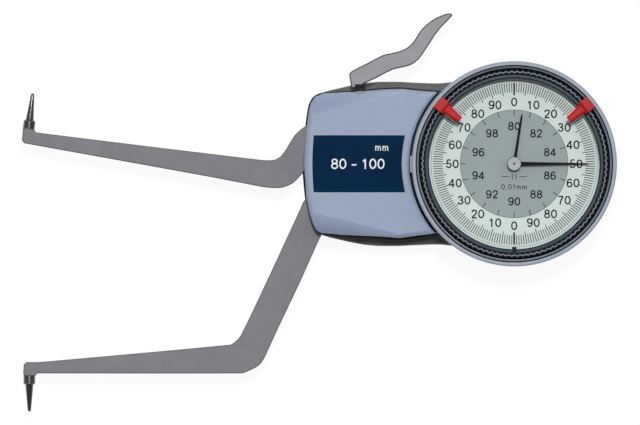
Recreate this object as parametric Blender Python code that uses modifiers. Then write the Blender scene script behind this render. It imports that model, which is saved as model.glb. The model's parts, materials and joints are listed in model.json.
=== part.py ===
"""Internal groove gauge: a dial gauge with one fixed and one swinging arm, lying on its back.

X points away from the contact tips, Y points to the finger lever, and Z comes out of the dial.
The origin is on the dial's axis, at the flat back of the case.
"""

import math

import bmesh
import bpy
from mathutils import Matrix, Vector

mm = 0.001
degree = math.pi / 180

# Fits shared by every piece
clearance = 0.3 * mm
overrun = 2 * mm
weld_distance = 0.001 * mm
flat_angle = 0.05 * degree
round_steps = 56

# Stack of the case along Z, from the back
rear_depth = 13 * mm
case_floor = 2 * mm
case_wall = 1.8 * mm
front_depth = 11.7 * mm
front_roof = 2 * mm
chassis_thickness = 2 * mm
arm_thickness = 4 * mm

# Dial, each ring measured from the one inside it
window_radius = 26.75 * mm
bezel_width = 2.95 * mm
bezel_radius = window_radius + bezel_width
bezel_skirt_radius = bezel_radius - 0.5 * mm
bezel_height = 6.3 * mm
dial_ring_width = 2.15 * mm
dial_ring_bore = bezel_radius + clearance
dial_ring_radius = dial_ring_bore + dial_ring_width
dial_ring_height = 5.9 * mm
groove_radius = dial_ring_bore + 0.65 * mm
groove_width = 0.8 * mm
groove_depth = 0.8 * mm
bezel_skirt_depth = 1.2 * mm
scallop_depth = 0.4 * mm
scallop_count = 102
crystal_seat = 0.9 * mm
crystal_thickness = 1.2 * mm
retainer_thickness = 0.5 * mm
retainer_width = 1.6 * mm
dial_thickness = 0.5 * mm
dial_seat = 1 * mm
crystal_radius = window_radius + crystal_seat
retainer_radius = window_radius + retainer_width
dial_radius = window_radius + dial_seat

# Case outline, whose drum stands just inside the dial ring
drum_radius = dial_ring_radius - 0.55 * mm
drum_bore = drum_radius - case_wall
case_reach = 65.9 * mm
case_half_height = 23.5 * mm
rear_half_height = case_half_height + 2.3 * mm

# Label plate, in a pocket beside the drum
label_pocket = 0.6 * mm
label_thickness = 0.4 * mm
label_right = -drum_radius - 2.9 * mm
label_left = 3.3 * mm - case_reach
label_half_height = 8.65 * mm
label_bow = 0.4 * mm
label_sag = 1 * mm

# Hands
large_hand_length = window_radius - 2.65 * mm
large_hand_width = 1 * mm
small_hand_length = 15.9 * mm
small_hand_width = 0.8 * mm
hand_thickness = 0.3 * mm
hand_tip_share = 0.35
hub_radius = 2.2 * mm
cap_height = 0.5 * mm
cap_step_share = 0.8
hour_tube_radius = 1.5 * mm

# Tolerance markers
marker_angle = 51 * degree
marker_outer_radius = groove_radius + 0.25 * mm
marker_head_length = 3.9 * mm
marker_head_width = 4.2 * mm
marker_head_height = 1.3 * mm
marker_tip_radius = marker_outer_radius - 9.1 * mm
marker_pointer_width = 3.2 * mm
marker_tip_width = 2.1 * mm
marker_pointer_thickness = 0.6 * mm
marker_foot_width = 0.3 * mm

# Arms, whose outlines below are shares of this length
arm_scale = 100 * mm
arm_pivot = Vector((10.4 * mm - case_reach, case_half_height - 9.1 * mm, 0))
arm_travel = 12.5 * degree
arm_hub_radius = 5 * mm
arm_shaft_radius = 2 * mm
arm_slot_low = arm_pivot.y - 24.6 * mm
arm_slot_high = arm_pivot.y + 0.1 * mm
arm_slot_depth = 4 * case_wall
fixed_foot_share = 0.617
fixed_foot = Vector((10.9 * mm - case_reach, -fixed_foot_share * case_half_height, 0))
foot_screw_offsets = (-3 * mm, 6 * mm)
stop_radius = 0.6 * mm
stop_share = 0.1
spring_wire_radius = 0.25 * mm
spring_radius = 2.8 * mm
spring_turn_count = 4

# Contact tips
upper_tip_foot = arm_pivot + Vector((-96.8 * mm, -3.3 * mm, 0))
upper_tip_lean = -6.6 * degree
lower_tip_foot = fixed_foot + Vector((-97.1 * mm, -52.1 * mm, 0))
collar_width = 3.7 * mm
collar_height = 2.3 * mm
collar_chamfer = 0.3 * mm
cone_width = 2.5 * mm
cone_length = 8.6 * mm
cone_end_radius = 0.5 * mm

# Finger lever
lever_pivot = arm_pivot + Vector((7.2 * mm, 4.2 * mm, 0))
lever_thickness = 3 * mm
lever_travel = -22 * degree
lever_hub_radius = 1.8 * mm
lever_shaft_radius = 0.9 * mm
lever_stem_width = 2.1 * mm
lever_stem_height = 7.35 * mm
lever_pin_radius = 0.6 * mm
fork_reach = 6.5 * mm
fork_width = 4 * mm
lever_scale = 40 * mm
lever_slot = (lever_pivot.x - 2.1 * mm, lever_pivot.x + 4.4 * mm)
seal_wall = 0.4 * mm
seal_height = 0.7 * mm
seal_place = 4.3 * mm

# Gears, whose module keeps the train as long as the way from the arm's pivot to the dial's axis
train_span = arm_pivot.length
module_share = 0.00418573
gear_module = module_share * train_span
pinion_teeth = 12
sector_teeth = 328
wheel_teeth = 132
take_up_teeth = 60
minute_teeth = 36
hour_teeth = 40
tooth_width_share = 0.36
tooth_tip_share = 0.6
tooth_root_share = 1.3
addendum_share = 0.7
dedendum_share = 1
gear_thickness = 0.8 * mm
arbor_share = 2.5
arbor_radius = arbor_share * gear_module
sector_hub_radius = 3.6 * mm
hairspring_wire = 0.12 * mm
hairspring_turn_count = 4
hairspring_inner = 1.2 * mm
hairspring_outer = 5.2 * mm
hairspring_stud_radius = 0.5 * mm

# Screws, posts and the plates that carry the train
post_radius = 2 * mm
screw_radius = 1 * mm
screw_head_radius = 1.7 * mm
screw_head_height = 1.2 * mm
screw_bite = 6 * mm
chassis_disc_radius = drum_bore - 5.8 * mm
chassis_screw_axis = Vector((chassis_disc_radius - 5 * mm, 0, 0))
chassis_pad_axis = Vector((8.9 * mm - case_reach, -3 * mm, 0))
bridge_share = 0.723783
bridge_reach = bridge_share * train_span
bridge_thickness = 1.3 * mm
pillar_radius = 1.6 * mm
pillar_bore = 0.9 * mm
bridge_screw_bite = 4 * mm

# Heights along Z worked out from the stack
chassis_top = rear_depth
chassis_bottom = chassis_top - chassis_thickness
arm_bottom = rear_depth + clearance
arm_top = arm_bottom + arm_thickness
front_bottom = rear_depth + clearance
front_top = front_bottom + front_depth
roof_bottom = front_top - front_roof
layer_bottom = arm_top + clearance
lever_top = layer_bottom + lever_thickness
sector_top = layer_bottom + gear_thickness
wheel_bottom = sector_top + 2 * clearance
wheel_top = wheel_bottom + gear_thickness
bridge_bottom = wheel_top + 2 * clearance
bridge_top = bridge_bottom + bridge_thickness
motion_bottom = bridge_top + clearance
motion_top = motion_bottom + gear_thickness
hour_bottom = motion_top + clearance
hour_top = hour_bottom + gear_thickness
dial_bottom = hour_top + clearance
dial_top = dial_bottom + dial_thickness
small_hand_bottom = dial_top + 3 * clearance
large_hand_bottom = small_hand_bottom + hand_thickness + 2 * clearance
ring_bottom = front_top + clearance
ring_top = ring_bottom + dial_ring_height
bezel_bottom = ring_bottom - bezel_skirt_depth
bezel_top = ring_bottom + bezel_height
crystal_bottom = large_hand_bottom + hand_thickness + cap_height + 2 * clearance
crystal_top = crystal_bottom + crystal_thickness
marker_bottom = bezel_top + clearance

# Gear places worked out from the tooth counts
pinion_radius = gear_module * pinion_teeth / 2
sector_radius = gear_module * sector_teeth / 2
wheel_radius = gear_module * wheel_teeth / 2
take_up_distance = gear_module * (take_up_teeth + pinion_teeth) / 2
motion_distance = gear_module * (minute_teeth + pinion_teeth) / 2
hour_module = 2 * motion_distance / (hour_teeth + pinion_teeth)
take_up_bearing = -35 * degree
minute_bearing = 90 * degree


def polar(centre, radius, angle, height=0.0):
    return Vector((centre.x + radius * math.cos(angle), centre.y + radius * math.sin(angle), height))


def train_place():
    """Place where the sector's pinion also lets its wheel reach the centre pinion."""
    near = sector_radius + pinion_radius
    far = wheel_radius + pinion_radius
    turn = math.acos((near * near + train_span * train_span - far * far) / (2 * near * train_span))
    return polar(arm_pivot, near, math.atan2(-arm_pivot.y, -arm_pivot.x) - turn)


dial_axis = Vector((0, 0, 0))
train_axis = train_place()
take_up_axis = polar(dial_axis, take_up_distance, take_up_bearing)
minute_axis = polar(dial_axis, motion_distance, minute_bearing)
post_across = 27.9 * mm - case_reach
post_up = case_half_height - 5 * mm
post_axes = (
    Vector((post_across, post_up, 0)),
    Vector((post_across, -post_up, 0)),
    polar(dial_axis, drum_bore - post_radius / 2, 40 * degree),
    polar(dial_axis, drum_bore - post_radius / 2, -40 * degree),
)
pillar_shares = ((0.034881, 0.226727), (0.034881, -0.296489), (-0.671461, -0.104643))
pillar_axes = [Vector((x * train_span, y * train_span, 0)) for x, y in pillar_shares]
foot_screw_axes = [fixed_foot + Vector((offset, 0, 0)) for offset in foot_screw_offsets]


# Scene, collections and materials

for leftover in list(bpy.data.objects):
    bpy.data.objects.remove(leftover)

parts = bpy.data.collections.new("internal_groove_gauge")
cutters = bpy.data.collections.new("cutters")
for collection in (parts, cutters):
    bpy.context.scene.collection.children.link(collection)


def make_material(name, colour, roughness, metallic=0.0, alpha=1.0):
    material = bpy.data.materials.new(name)
    material.use_nodes = True
    shader = material.node_tree.nodes["Principled BSDF"]
    shader.inputs["Base Color"].default_value = (*colour, 1)
    shader.inputs["Roughness"].default_value = roughness
    shader.inputs["Metallic"].default_value = metallic
    shader.inputs["Alpha"].default_value = alpha
    return material


steel_blue = (0.30, 0.36, 0.48)
colours = {
    "case": (steel_blue, 0.45, 0.3, 1.0),
    "dark_case": ((0.05, 0.05, 0.06), 0.6, 0.0, 1.0),
    "navy": ((0.004, 0.025, 0.07), 0.4, 0.0, 1.0),
    "black": ((0.02, 0.02, 0.025), 0.5, 0.0, 1.0),
    "teal": ((0.06, 0.09, 0.11), 0.4, 0.2, 1.0),
    "white": ((0.68, 0.77, 0.74), 0.5, 0.0, 1.0),
    "red": ((0.52, 0.03, 0.025), 0.45, 0.0, 1.0),
    "glass": ((0.9, 0.95, 0.95), 0.05, 0.0, 0.2),
    "steel": ((0.22, 0.22, 0.235), 0.4, 0.8, 1.0),
    "dark_steel": ((0.09, 0.09, 0.1), 0.35, 0.9, 1.0),
    "brass": ((0.6, 0.42, 0.14), 0.35, 1.0, 1.0),
}
materials = {name: make_material(name, *values) for name, values in colours.items()}


# Shape helpers

def add_object(name, mesh, finish=None, place=None):
    thing = bpy.data.objects.new(name, mesh)
    if place is not None:
        thing.location = place
    if finish:
        mesh.materials.append(materials[finish])
        parts.objects.link(thing)
        mesh.shade_smooth()
        mesh.set_sharp_from_angle(angle=35 * degree)
    else:
        cutters.objects.link(thing)
        thing.hide_render = True
        thing.display_type = "WIRE"
    return thing


def baked_mesh(thing, name):
    """Evaluated mesh of an object, with its loose caps welded and its faces turned out."""
    bpy.context.view_layer.update()
    evaluated = thing.evaluated_get(bpy.context.evaluated_depsgraph_get())
    mesh = bpy.data.meshes.new_from_object(evaluated)
    mesh.name = name
    mesh.transform(thing.matrix_world)
    bm = bmesh.new()
    bm.from_mesh(mesh)
    bmesh.ops.remove_doubles(bm, verts=bm.verts, dist=weld_distance)
    bmesh.ops.dissolve_limit(bm, angle_limit=flat_angle, verts=bm.verts, edges=bm.edges)
    bmesh.ops.recalc_face_normals(bm, faces=bm.faces)
    bm.to_mesh(mesh)
    bm.free()
    mesh.materials.clear()
    bpy.data.objects.remove(thing)
    return mesh


def flat(name, outline, bottom, top, finish=None, holes=(), pivot=None):
    """Plate with this outline, between two heights, with its origin on the pivot."""
    origin = pivot or dial_axis
    curve = bpy.data.curves.new(name, "CURVE")
    curve.dimensions = "2D"
    curve.fill_mode = "BOTH"
    curve.extrude = (top - bottom) / 2
    for loop in (outline, *holes):
        spline = curve.splines.new("POLY")
        spline.points.add(len(loop) - 1)
        for point, (x, y) in zip(spline.points, loop):
            point.co = (x - origin.x, y - origin.y, 0, 1)
        spline.use_cyclic_u = True
    guide = bpy.data.objects.new(name, curve)
    guide.location = (0, 0, (top + bottom) / 2)
    cutters.objects.link(guide)
    return add_object(name, baked_mesh(guide, name), finish, origin)


def turned(name, profile, finish=None, axis=None, steps=48, closed=True):
    """Turned piece whose profile is a list of radii and heights."""
    mesh = bpy.data.meshes.new(name)
    points = [(radius, 0, height) for radius, height in profile]
    edges = [(i, i + 1) for i in range(len(points) - 1)]
    if closed:
        edges.append((len(points) - 1, 0))
    mesh.from_pydata(points, edges, [])
    guide = bpy.data.objects.new(name, mesh)
    cutters.objects.link(guide)
    screw = guide.modifiers.new("turn", "SCREW")
    screw.steps = steps
    screw.render_steps = steps
    screw.use_merge_vertices = True
    screw.merge_threshold = weld_distance
    return add_object(name, baked_mesh(guide, name), finish, axis or dial_axis)


def shaft(name, axis, steps_along, finish=None, steps=16):
    """Solid turned piece from radius and end height pairs, starting at the first height."""
    start, runs = steps_along
    profile = [(0, start)]
    height = start
    for radius, end in runs:
        profile.append((radius, height))
        profile.append((radius, end))
        height = end
    profile.append((0, height))
    return turned(name, profile, finish, axis, steps, closed=False)


def tube(name, axis, bore, radius, bottom, top, finish=None, steps=48):
    profile = [(radius, top), (radius, bottom), (bore, bottom), (bore, top)]
    return turned(name, profile, finish, axis, steps)


def join(target, piece, operation="UNION"):
    boolean = target.modifiers.new(piece.name, "BOOLEAN")
    boolean.operation = operation
    boolean.solver = "EXACT"
    boolean.object = piece


def cut(target, cutter):
    join(target, cutter, "DIFFERENCE")


def cut_hole(target, axis, radius, bottom, top, steps=12):
    """Bore that runs past both faces by the overrun."""
    run = [(radius, top + overrun)]
    cut(target, shaft(f"{target.name}_hole", axis, (bottom - overrun, run), steps=steps))


def cut_box(target, low, high):
    size = Vector(high) - Vector(low)
    mesh = bpy.data.meshes.new(f"{target.name}_slot")
    bm = bmesh.new()
    bmesh.ops.create_cube(bm, size=1, matrix=Matrix.Diagonal((*size, 1)))
    bm.to_mesh(mesh)
    bm.free()
    cut(target, add_object(mesh.name, mesh, place=(Vector(low) + Vector(high)) / 2))


# Outline helpers

def arc(centre, radius, start, end, count):
    """Points along an arc, both ends included."""
    turns = [start + (end - start) * i / (count - 1) for i in range(count)]
    return [(centre[0] + radius * math.cos(a), centre[1] + radius * math.sin(a)) for a in turns]


def circle(centre, radius, count):
    return arc(centre, radius, 0, 2 * math.pi * (count - 1) / count, count)


def rounded(corners, radii, count=4):
    """Outline through these corners, each eased by a quadratic curve that starts its radius away."""
    loop = []
    for i, corner in enumerate(corners):
        here = Vector(corner)
        before = Vector(corners[i - 1]) - here
        after = Vector(corners[(i + 1) % len(corners)]) - here
        radius = radii[i] if isinstance(radii, (list, tuple)) else radii
        reach = min(radius, before.length * 0.45, after.length * 0.45)
        if reach <= 0:
            loop.append(tuple(here))
            continue
        first = here + before.normalized() * reach
        last = here + after.normalized() * reach
        for step in range(count):
            t = step / (count - 1)
            point = first * (1 - t) ** 2 + here * 2 * t * (1 - t) + last * t ** 2
            loop.append(tuple(point))
    return loop


def scaled(shares, length, height=None):
    return [(x * length, y * (height or length)) for x, y in shares]


def inset(loop, distance):
    """Counter-clockwise outline moved in by a distance, or out by a negative one."""
    moved = []
    for i, point in enumerate(loop):
        here = Vector(point)
        back = (here - Vector(loop[i - 1])).normalized()
        ahead = (Vector(loop[(i + 1) % len(loop)]) - here).normalized()
        normal = Vector((-back.y - ahead.y, back.x + ahead.x)).normalized()
        side = max(Vector((-back.y, back.x)).dot(normal), 0.5)
        moved.append(tuple(here + normal * distance / side))
    return moved


def gear_outline(centre, module, teeth, phase, kept=None, start=0):
    """Toothed outline with one tooth centred on the phase; kept limits it to that many teeth.

    Pinions have flat-topped teeth, and the large wheels have pointed ones.
    """
    pitch = 2 * math.pi / teeth
    radius = module * teeth / 2
    root = radius - dedendum_share * module
    tip = radius + addendum_share * module
    loop = []
    for k in range(start, start + (kept or teeth)):
        middle = phase + k * pitch
        half = pitch * tooth_width_share / 2
        top = half * tooth_tip_share
        foot = half * tooth_root_share
        tooth = ((root, -foot), (tip, -top), (tip, top), (root, foot))
        if teeth > pinion_teeth:
            tooth = ((root, -pitch / 2), (tip, 0))
        for reach, turn in tooth:
            loop.append(tuple(polar(centre, reach, middle + turn).xy))
    return loop


def bearing(start, end):
    return math.atan2(end.y - start.y, end.x - start.x)


# Case outlines, as shares of the case's reach and half height, from the drum round to the drum
front_shares = (
    (-0.2, 0.93), (-0.37, 0.96), (-0.45, 0.975), (-0.53, 1.0), (-0.61, 0.995), (-0.76, 0.96), (-0.907, 0.94),
    (-0.945, 0.895), (-0.965, 0.82), (-0.976, 0.72), (-0.992, 0.345), (-1.0, 0.0), (-0.988, -0.447),
    (-0.972, -0.665), (-0.957, -0.8), (-0.939, -0.889), (-0.914, -0.923), (-0.815, -0.949), (-0.642, -0.97),
    (-0.546, -0.991), (-0.469, -0.962), (-0.364, -0.923), (-0.2, -0.9),
)
rear_upper_shares = (
    (-0.2, 1.0), (-0.285, 1.0), (-0.337, 0.985), (-0.382, 0.982), (-0.469, 0.99), (-0.551, 1.0), (-0.642, 1.0),
    (-0.712, 0.985), (-0.78, 0.953), (-0.873, 0.899), (-0.93, 0.853), (-0.962, 0.76), (-0.979, 0.465),
)
rear_shares = rear_upper_shares + tuple((x, -y) for x, y in reversed(rear_upper_shares))
chassis_shares = (
    (-0.2, 0.84), (-0.8, 0.84), (-0.885, 0.79), (-0.915, 0.772), (-0.932, 0.7), (-0.932, -0.62),
    (-0.84, -0.8), (-0.2, -0.8),
)

front_loop = scaled(front_shares, case_reach, case_half_height)
rear_loop = scaled(rear_shares, case_reach, rear_half_height)

# Arm outlines, as shares of the arm scale, measured from the pivot and from the fixed arm's foot
moving_arm_shares = (
    (-0.99, -0.078), (-0.38, -0.1884), (-0.229, -0.2176), (-0.1875, -0.2207), (-0.165, -0.2176),
    (-0.138, -0.205), (-0.119, -0.186), (-0.106, -0.171), (-0.03, -0.09), (0.02, -0.045), (0.0, 0.04),
    (-0.04, 0.028), (-0.098, -0.0243), (-0.115, -0.036), (-0.1345, -0.0548), (-0.153, -0.0852),
    (-0.169, -0.112), (-0.1875, -0.1291), (-0.21, -0.1329), (-0.2355, -0.1319), (-0.947, -0.0447),
    (-0.9495, -0.037), (-0.9856, -0.0293),
)
fixed_arm_shares = (
    (-0.991, -0.521), (-0.949, -0.521), (-0.949, -0.5127), (-0.3, -0.5127), (-0.25, -0.489), (-0.234, -0.467),
    (-0.197, -0.386), (-0.121, -0.226), (-0.062, -0.094), (-0.052, -0.075), (-0.035, -0.045), (0.105, -0.045),
    (0.105, 0.042), (-0.09, 0.042), (-0.109, 0.032), (-0.121, 0.003), (-0.159, -0.078), (-0.234, -0.241),
    (-0.3095, -0.398), (-0.335, -0.422), (-0.937, -0.477), (-0.988, -0.477),
)


def placed(shares, origin, length):
    return [(origin.x + x, origin.y + y) for x, y in scaled(shares, length)]


def fixed_arm_loop():
    corners = placed(fixed_arm_shares, fixed_foot, arm_scale)
    return rounded(corners, arm_thickness / 5, 2)


# Case

def make_rear_case():
    case = flat("rear_case", rear_loop, 0, rear_depth, "dark_case")
    join(case, shaft("rear_drum", dial_axis, (0, [(drum_radius, rear_depth)]), steps=round_steps))
    hollow = inset(scaled(rear_shares, case_reach, case_half_height), case_wall)
    cut(case, flat("rear_hollow", hollow, case_floor, rear_depth + overrun))
    hollow = (case_floor, [(drum_bore, rear_depth + overrun)])
    cut(case, shaft("rear_drum_hollow", dial_axis, hollow, steps=round_steps))
    boss_top = chassis_bottom - clearance
    bosses = [(axis, boss_top) for axis in (*post_axes[:2], chassis_screw_axis, chassis_pad_axis)]
    bosses += [(axis, rear_depth) for axis in post_axes[2:]]
    for i, (axis, top) in enumerate(bosses):
        join(case, shaft(f"rear_boss_{i}", axis, (case_floor / 2, [(post_radius, top)])))
    for i, axis in enumerate(post_axes):
        seat = screw_head_height + clearance
        bore = [(screw_head_radius + clearance, seat), (screw_radius + clearance, rear_depth + overrun)]
        cut(case, shaft(f"rear_screw_hole_{i}", axis, (-overrun, bore)))
    bite = [(screw_radius + clearance, boss_top + overrun)]
    cut(case, shaft("chassis_screw_hole", chassis_screw_axis, (boss_top - screw_bite, bite)))


def make_front_case():
    case = flat("front_case", front_loop, front_bottom, front_top, "case")
    join(case, shaft("front_drum", dial_axis, (front_bottom, [(drum_radius, front_top)]), steps=round_steps))
    cut(case, flat("front_hollow", inset(front_loop, case_wall), front_bottom - overrun, roof_bottom))
    hollow = (front_bottom - overrun, [(drum_bore, front_top + overrun)])
    cut(case, shaft("front_drum_hollow", dial_axis, hollow, steps=round_steps))
    for i, axis in enumerate(post_axes):
        top = roof_bottom + front_roof / 2 if i < 2 else bezel_bottom - clearance
        join(case, shaft(f"front_post_{i}", axis, (front_bottom, [(post_radius, top)])))
        bite = [(screw_radius + clearance, front_bottom + screw_bite + clearance)]
        cut(case, shaft(f"front_screw_hole_{i}", axis, (front_bottom - overrun, bite)))
    pocket = inset(label_loop(), -clearance)
    cut(case, flat("label_pocket", pocket, front_top - label_pocket, front_top + overrun))
    reach = -case_reach - overrun
    low = front_bottom - overrun
    cut_box(case, (reach, arm_slot_low, low), (reach + arm_slot_depth, arm_slot_high, layer_bottom))
    cut(case, flat("fixed_arm_slot", inset(fixed_arm_loop(), -clearance), low, layer_bottom))
    slot_low = lever_pivot.y + lever_hub_radius
    slot_high = case_half_height + overrun
    rise = seal_wall + 2 * clearance
    low, high = layer_bottom - rise, lever_top + rise
    cut_box(case, (lever_slot[0], slot_low, low), (lever_slot[1], slot_high, high))


def label_loop():
    """Left edge bows out a little, and the right edge runs beside the dial ring."""
    places = (-1, -0.5, 0, 0.5, 1)
    left = [(label_left - label_bow * math.cos(t * math.pi / 2), -t * label_half_height) for t in places]
    right = [(label_right - label_sag * math.cos(t * math.pi / 2), t * label_half_height) for t in places]
    return left + right


def make_label():
    bottom = front_top - label_pocket + clearance
    flat("label_plate", label_loop(), bottom, bottom + label_thickness, "navy")


def make_chassis():
    loop = rounded(scaled(chassis_shares, case_reach, case_half_height), case_wall)
    chassis = flat("chassis_plate", loop, chassis_bottom, chassis_top, "brass")
    disc = (chassis_bottom, [(chassis_disc_radius, chassis_top)])
    join(chassis, shaft("chassis_disc", dial_axis, disc, steps=round_steps))
    bores = [(axis, screw_radius) for axis in (*post_axes[:2], chassis_screw_axis, *foot_screw_axes)]
    bores += [(arm_pivot, arm_shaft_radius), (lever_pivot, lever_shaft_radius)]
    bores += [(axis, arbor_radius) for axis in (dial_axis, train_axis, take_up_axis)]
    for axis, radius in bores:
        cut_hole(chassis, axis, radius + clearance, chassis_bottom, chassis_top)


def make_screw(name, axis, seat, shank_end, finish="steel"):
    """Pan head standing on its seat, with the shank running the other way to its end."""
    away = 1 if seat > shank_end else -1
    head_end = seat + away * screw_head_height
    runs = [(screw_radius, seat), (screw_head_radius, head_end)]
    shaft(name, axis, (shank_end, runs), finish, 12)


def make_case_screws():
    for i, axis in enumerate(post_axes):
        make_screw(f"case_screw_{i + 1}", axis, screw_head_height, front_bottom + screw_bite)
    shank_end = chassis_bottom - screw_bite + 2 * clearance
    make_screw("chassis_screw", chassis_screw_axis, chassis_top + clearance, shank_end)


# Dial

def make_dial_ring():
    inner = groove_radius - groove_width / 2
    outer = groove_radius + groove_width / 2
    floor = ring_top - groove_depth
    profile = [
        (dial_ring_radius, ring_top - clearance), (dial_ring_radius, ring_bottom),
        (dial_ring_bore, ring_bottom), (dial_ring_bore, ring_top - clearance), (inner, ring_top),
        (inner, floor), (outer, floor), (outer, ring_top), (dial_ring_radius - clearance, ring_top),
    ]
    turned("dial_ring", profile, "case", steps=round_steps)


def scallop_loop():
    loop = []
    for i in range(2 * scallop_count):
        radius = bezel_radius - (scallop_depth if i % 2 else 0)
        loop.append(tuple(polar(dial_axis, radius, math.pi * i / scallop_count).xy))
    return loop


def make_bezel():
    head_bottom = ring_bottom + clearance
    window = circle((0, 0), window_radius, round_steps)
    bezel = flat("bezel_ring", scallop_loop(), head_bottom, bezel_top, "black", [window])
    bore = window_radius + dial_seat / 2
    top = head_bottom + clearance
    skirt = tube("bezel_skirt", dial_axis, bore, bezel_skirt_radius, bezel_bottom, top, steps=round_steps)
    join(bezel, skirt)
    run = [(crystal_radius + clearance, crystal_top), (retainer_radius + clearance, bezel_top + overrun)]
    cut(bezel, shaft("crystal_pocket", dial_axis, (crystal_bottom - clearance, run), steps=round_steps))
    run = [(dial_radius + clearance, dial_top + clearance)]
    cut(bezel, shaft("dial_pocket", dial_axis, (bezel_bottom - overrun, run), steps=round_steps))


def make_crystal():
    shaft("crystal", dial_axis, (crystal_bottom, [(crystal_radius, crystal_top)]), "glass", round_steps)
    bottom = crystal_top + clearance
    top = bottom + retainer_thickness
    tube("crystal_retainer", dial_axis, window_radius, retainer_radius, bottom, top, "teal", round_steps)


def make_dial_face():
    bore = hour_tube_radius + clearance
    tube("dial_face", dial_axis, bore, dial_radius, dial_bottom, dial_top, "white", round_steps)


def hand_loop(length, width, angle, hub):
    """Hub circle drawn out into a pointer that narrows to its tip."""
    half = width / 2
    start = math.asin(half / hub)
    tip = half * hand_tip_share
    side = math.atan2(tip, length)
    points = arc((0, 0), hub, angle + start, angle + 2 * math.pi - start, 25)
    points += [tuple(polar(dial_axis, length, turn).xy) for turn in (angle - side, angle + side)]
    return points


def make_hands():
    loop = hand_loop(small_hand_length, small_hand_width, 81 * degree, hub_radius)
    bore = circle((0, 0), hour_tube_radius + clearance / 2, 24)
    flat("small_hand", loop, small_hand_bottom, small_hand_bottom + hand_thickness, "black", [bore])
    loop = hand_loop(large_hand_length, large_hand_width, 0, hub_radius)
    bore = circle((0, 0), arbor_radius + clearance / 2, 16)
    large_top = large_hand_bottom + hand_thickness
    flat("large_hand", loop, large_hand_bottom, large_top, "black", [bore])
    bottom = large_top + clearance
    runs = [(hub_radius, bottom + cap_height / 2), (cap_step_share * hub_radius, bottom + cap_height)]
    shaft("hand_cap", dial_axis, (bottom, runs), "case", 32)


def make_marker(name, angle):
    """Pointer over the glass, a raised head to push, and a foot that slides in the ring's groove."""
    def outline(points):
        across = angle + math.pi / 2
        return [tuple((polar(dial_axis, r, angle) + polar(dial_axis, t, across)).xy) for r, t in points]

    head_half = marker_head_width / 2
    neck = marker_outer_radius - marker_head_length
    base_half, tip_half = marker_pointer_width / 2, marker_tip_width / 2
    block = outline([
        (marker_outer_radius, -head_half), (marker_outer_radius, head_half),
        (neck, head_half), (neck, -head_half),
    ])
    marker = flat(name, block, marker_bottom, marker_bottom + marker_head_height, "red")
    inside = marker_outer_radius - marker_head_length / 2
    pointer = outline([
        (inside, -base_half), (inside, base_half),
        (marker_tip_radius, tip_half), (marker_tip_radius, -tip_half),
    ])
    lift = marker_head_height / 10
    bottom = marker_bottom + lift
    join(marker, flat(f"{name}_pointer", pointer, bottom, bottom + marker_pointer_thickness))
    foot_half = marker_foot_width / 2
    foot = outline([
        (groove_radius - foot_half, -head_half / 2), (groove_radius + foot_half, -head_half / 2),
        (groove_radius + foot_half, head_half / 2), (groove_radius - foot_half, head_half / 2),
    ])
    join(marker, flat(f"{name}_foot", foot, ring_top - groove_depth / 2, marker_bottom + lift / 2))


# Arms and contact tips

def fork_place():
    """Pin radius from the lever's pivot, and its place at rest."""
    gain = abs(lever_travel) / arm_travel
    reach = (lever_pivot - arm_pivot).length / (1 + gain)
    angle = bearing(lever_pivot, arm_pivot) - lever_travel / 2
    return reach, polar(lever_pivot, reach, angle), angle


def make_moving_arm():
    loop = rounded(placed(moving_arm_shares, arm_pivot, arm_scale), arm_thickness / 5, 2)
    arm = flat("moving_arm", loop, arm_bottom, arm_top, "steel", pivot=arm_pivot)
    join(arm, shaft("arm_hub", arm_pivot, (arm_bottom, [(arm_hub_radius, arm_top)]), steps=36))
    angle = bearing(arm_pivot, lever_pivot) - arm_travel / 2
    across = angle + math.pi / 2

    def tine(points):
        return [tuple((polar(arm_pivot, r, angle) + polar(dial_axis, t, across)).xy) for r, t in points]

    half = fork_width / 2
    fork = tine([(0, -half), (fork_reach, -half), (fork_reach, half), (0, half)])
    join(arm, flat("arm_fork", fork, arm_bottom, arm_top))
    gap = lever_pin_radius + clearance
    start = (fork_place()[1] - arm_pivot).length - gap - clearance
    end = fork_reach + overrun
    notch = tine([(start, -gap), (end, -gap), (end, gap), (start, gap)])
    cut(arm, flat("fork_notch", notch, arm_bottom - overrun, arm_top + overrun))
    cut_hole(arm, arm_pivot, arm_shaft_radius + clearance, arm_bottom, arm_top)


def make_fixed_arm():
    arm = flat("fixed_arm", fixed_arm_loop(), arm_bottom, arm_top, "steel")
    for i, axis in enumerate(foot_screw_axes):
        cut_hole(arm, axis, screw_radius + clearance, arm_bottom, arm_top)
        make_screw(f"foot_screw_{i + 1}", axis, layer_bottom, chassis_bottom)


def make_tip(name, foot, direction):
    """Collar on the arm's seat, then a cone with a rounded end."""
    collar, cone = collar_width / 2, cone_width / 2
    shoulder = collar_height - collar_chamfer
    tip = cone_length + collar_height - cone_end_radius
    profile = [(0, 0), (collar, 0), (collar, shoulder)]
    profile += [(collar - collar_chamfer, collar_height), (cone, collar_height)]
    profile += [(x, tip + y) for x, y in arc((0, 0), cone_end_radius, 0, math.pi / 2 * 0.8, 4)]
    profile.append((0, tip + cone_end_radius))
    piece = turned(name, profile, "dark_steel", steps=24, closed=False)
    start = foot + direction * clearance
    piece.location = (start.x, start.y, arm_bottom + arm_thickness / 2)
    piece.rotation_euler = direction.to_track_quat("Z", "Y").to_euler()


def make_tips():
    lean = upper_tip_lean
    make_tip("contact_tip_upper", upper_tip_foot, Vector((-math.sin(lean), math.cos(lean), 0)))
    make_tip("contact_tip_lower", lower_tip_foot, Vector((0, -1, 0)))


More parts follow.
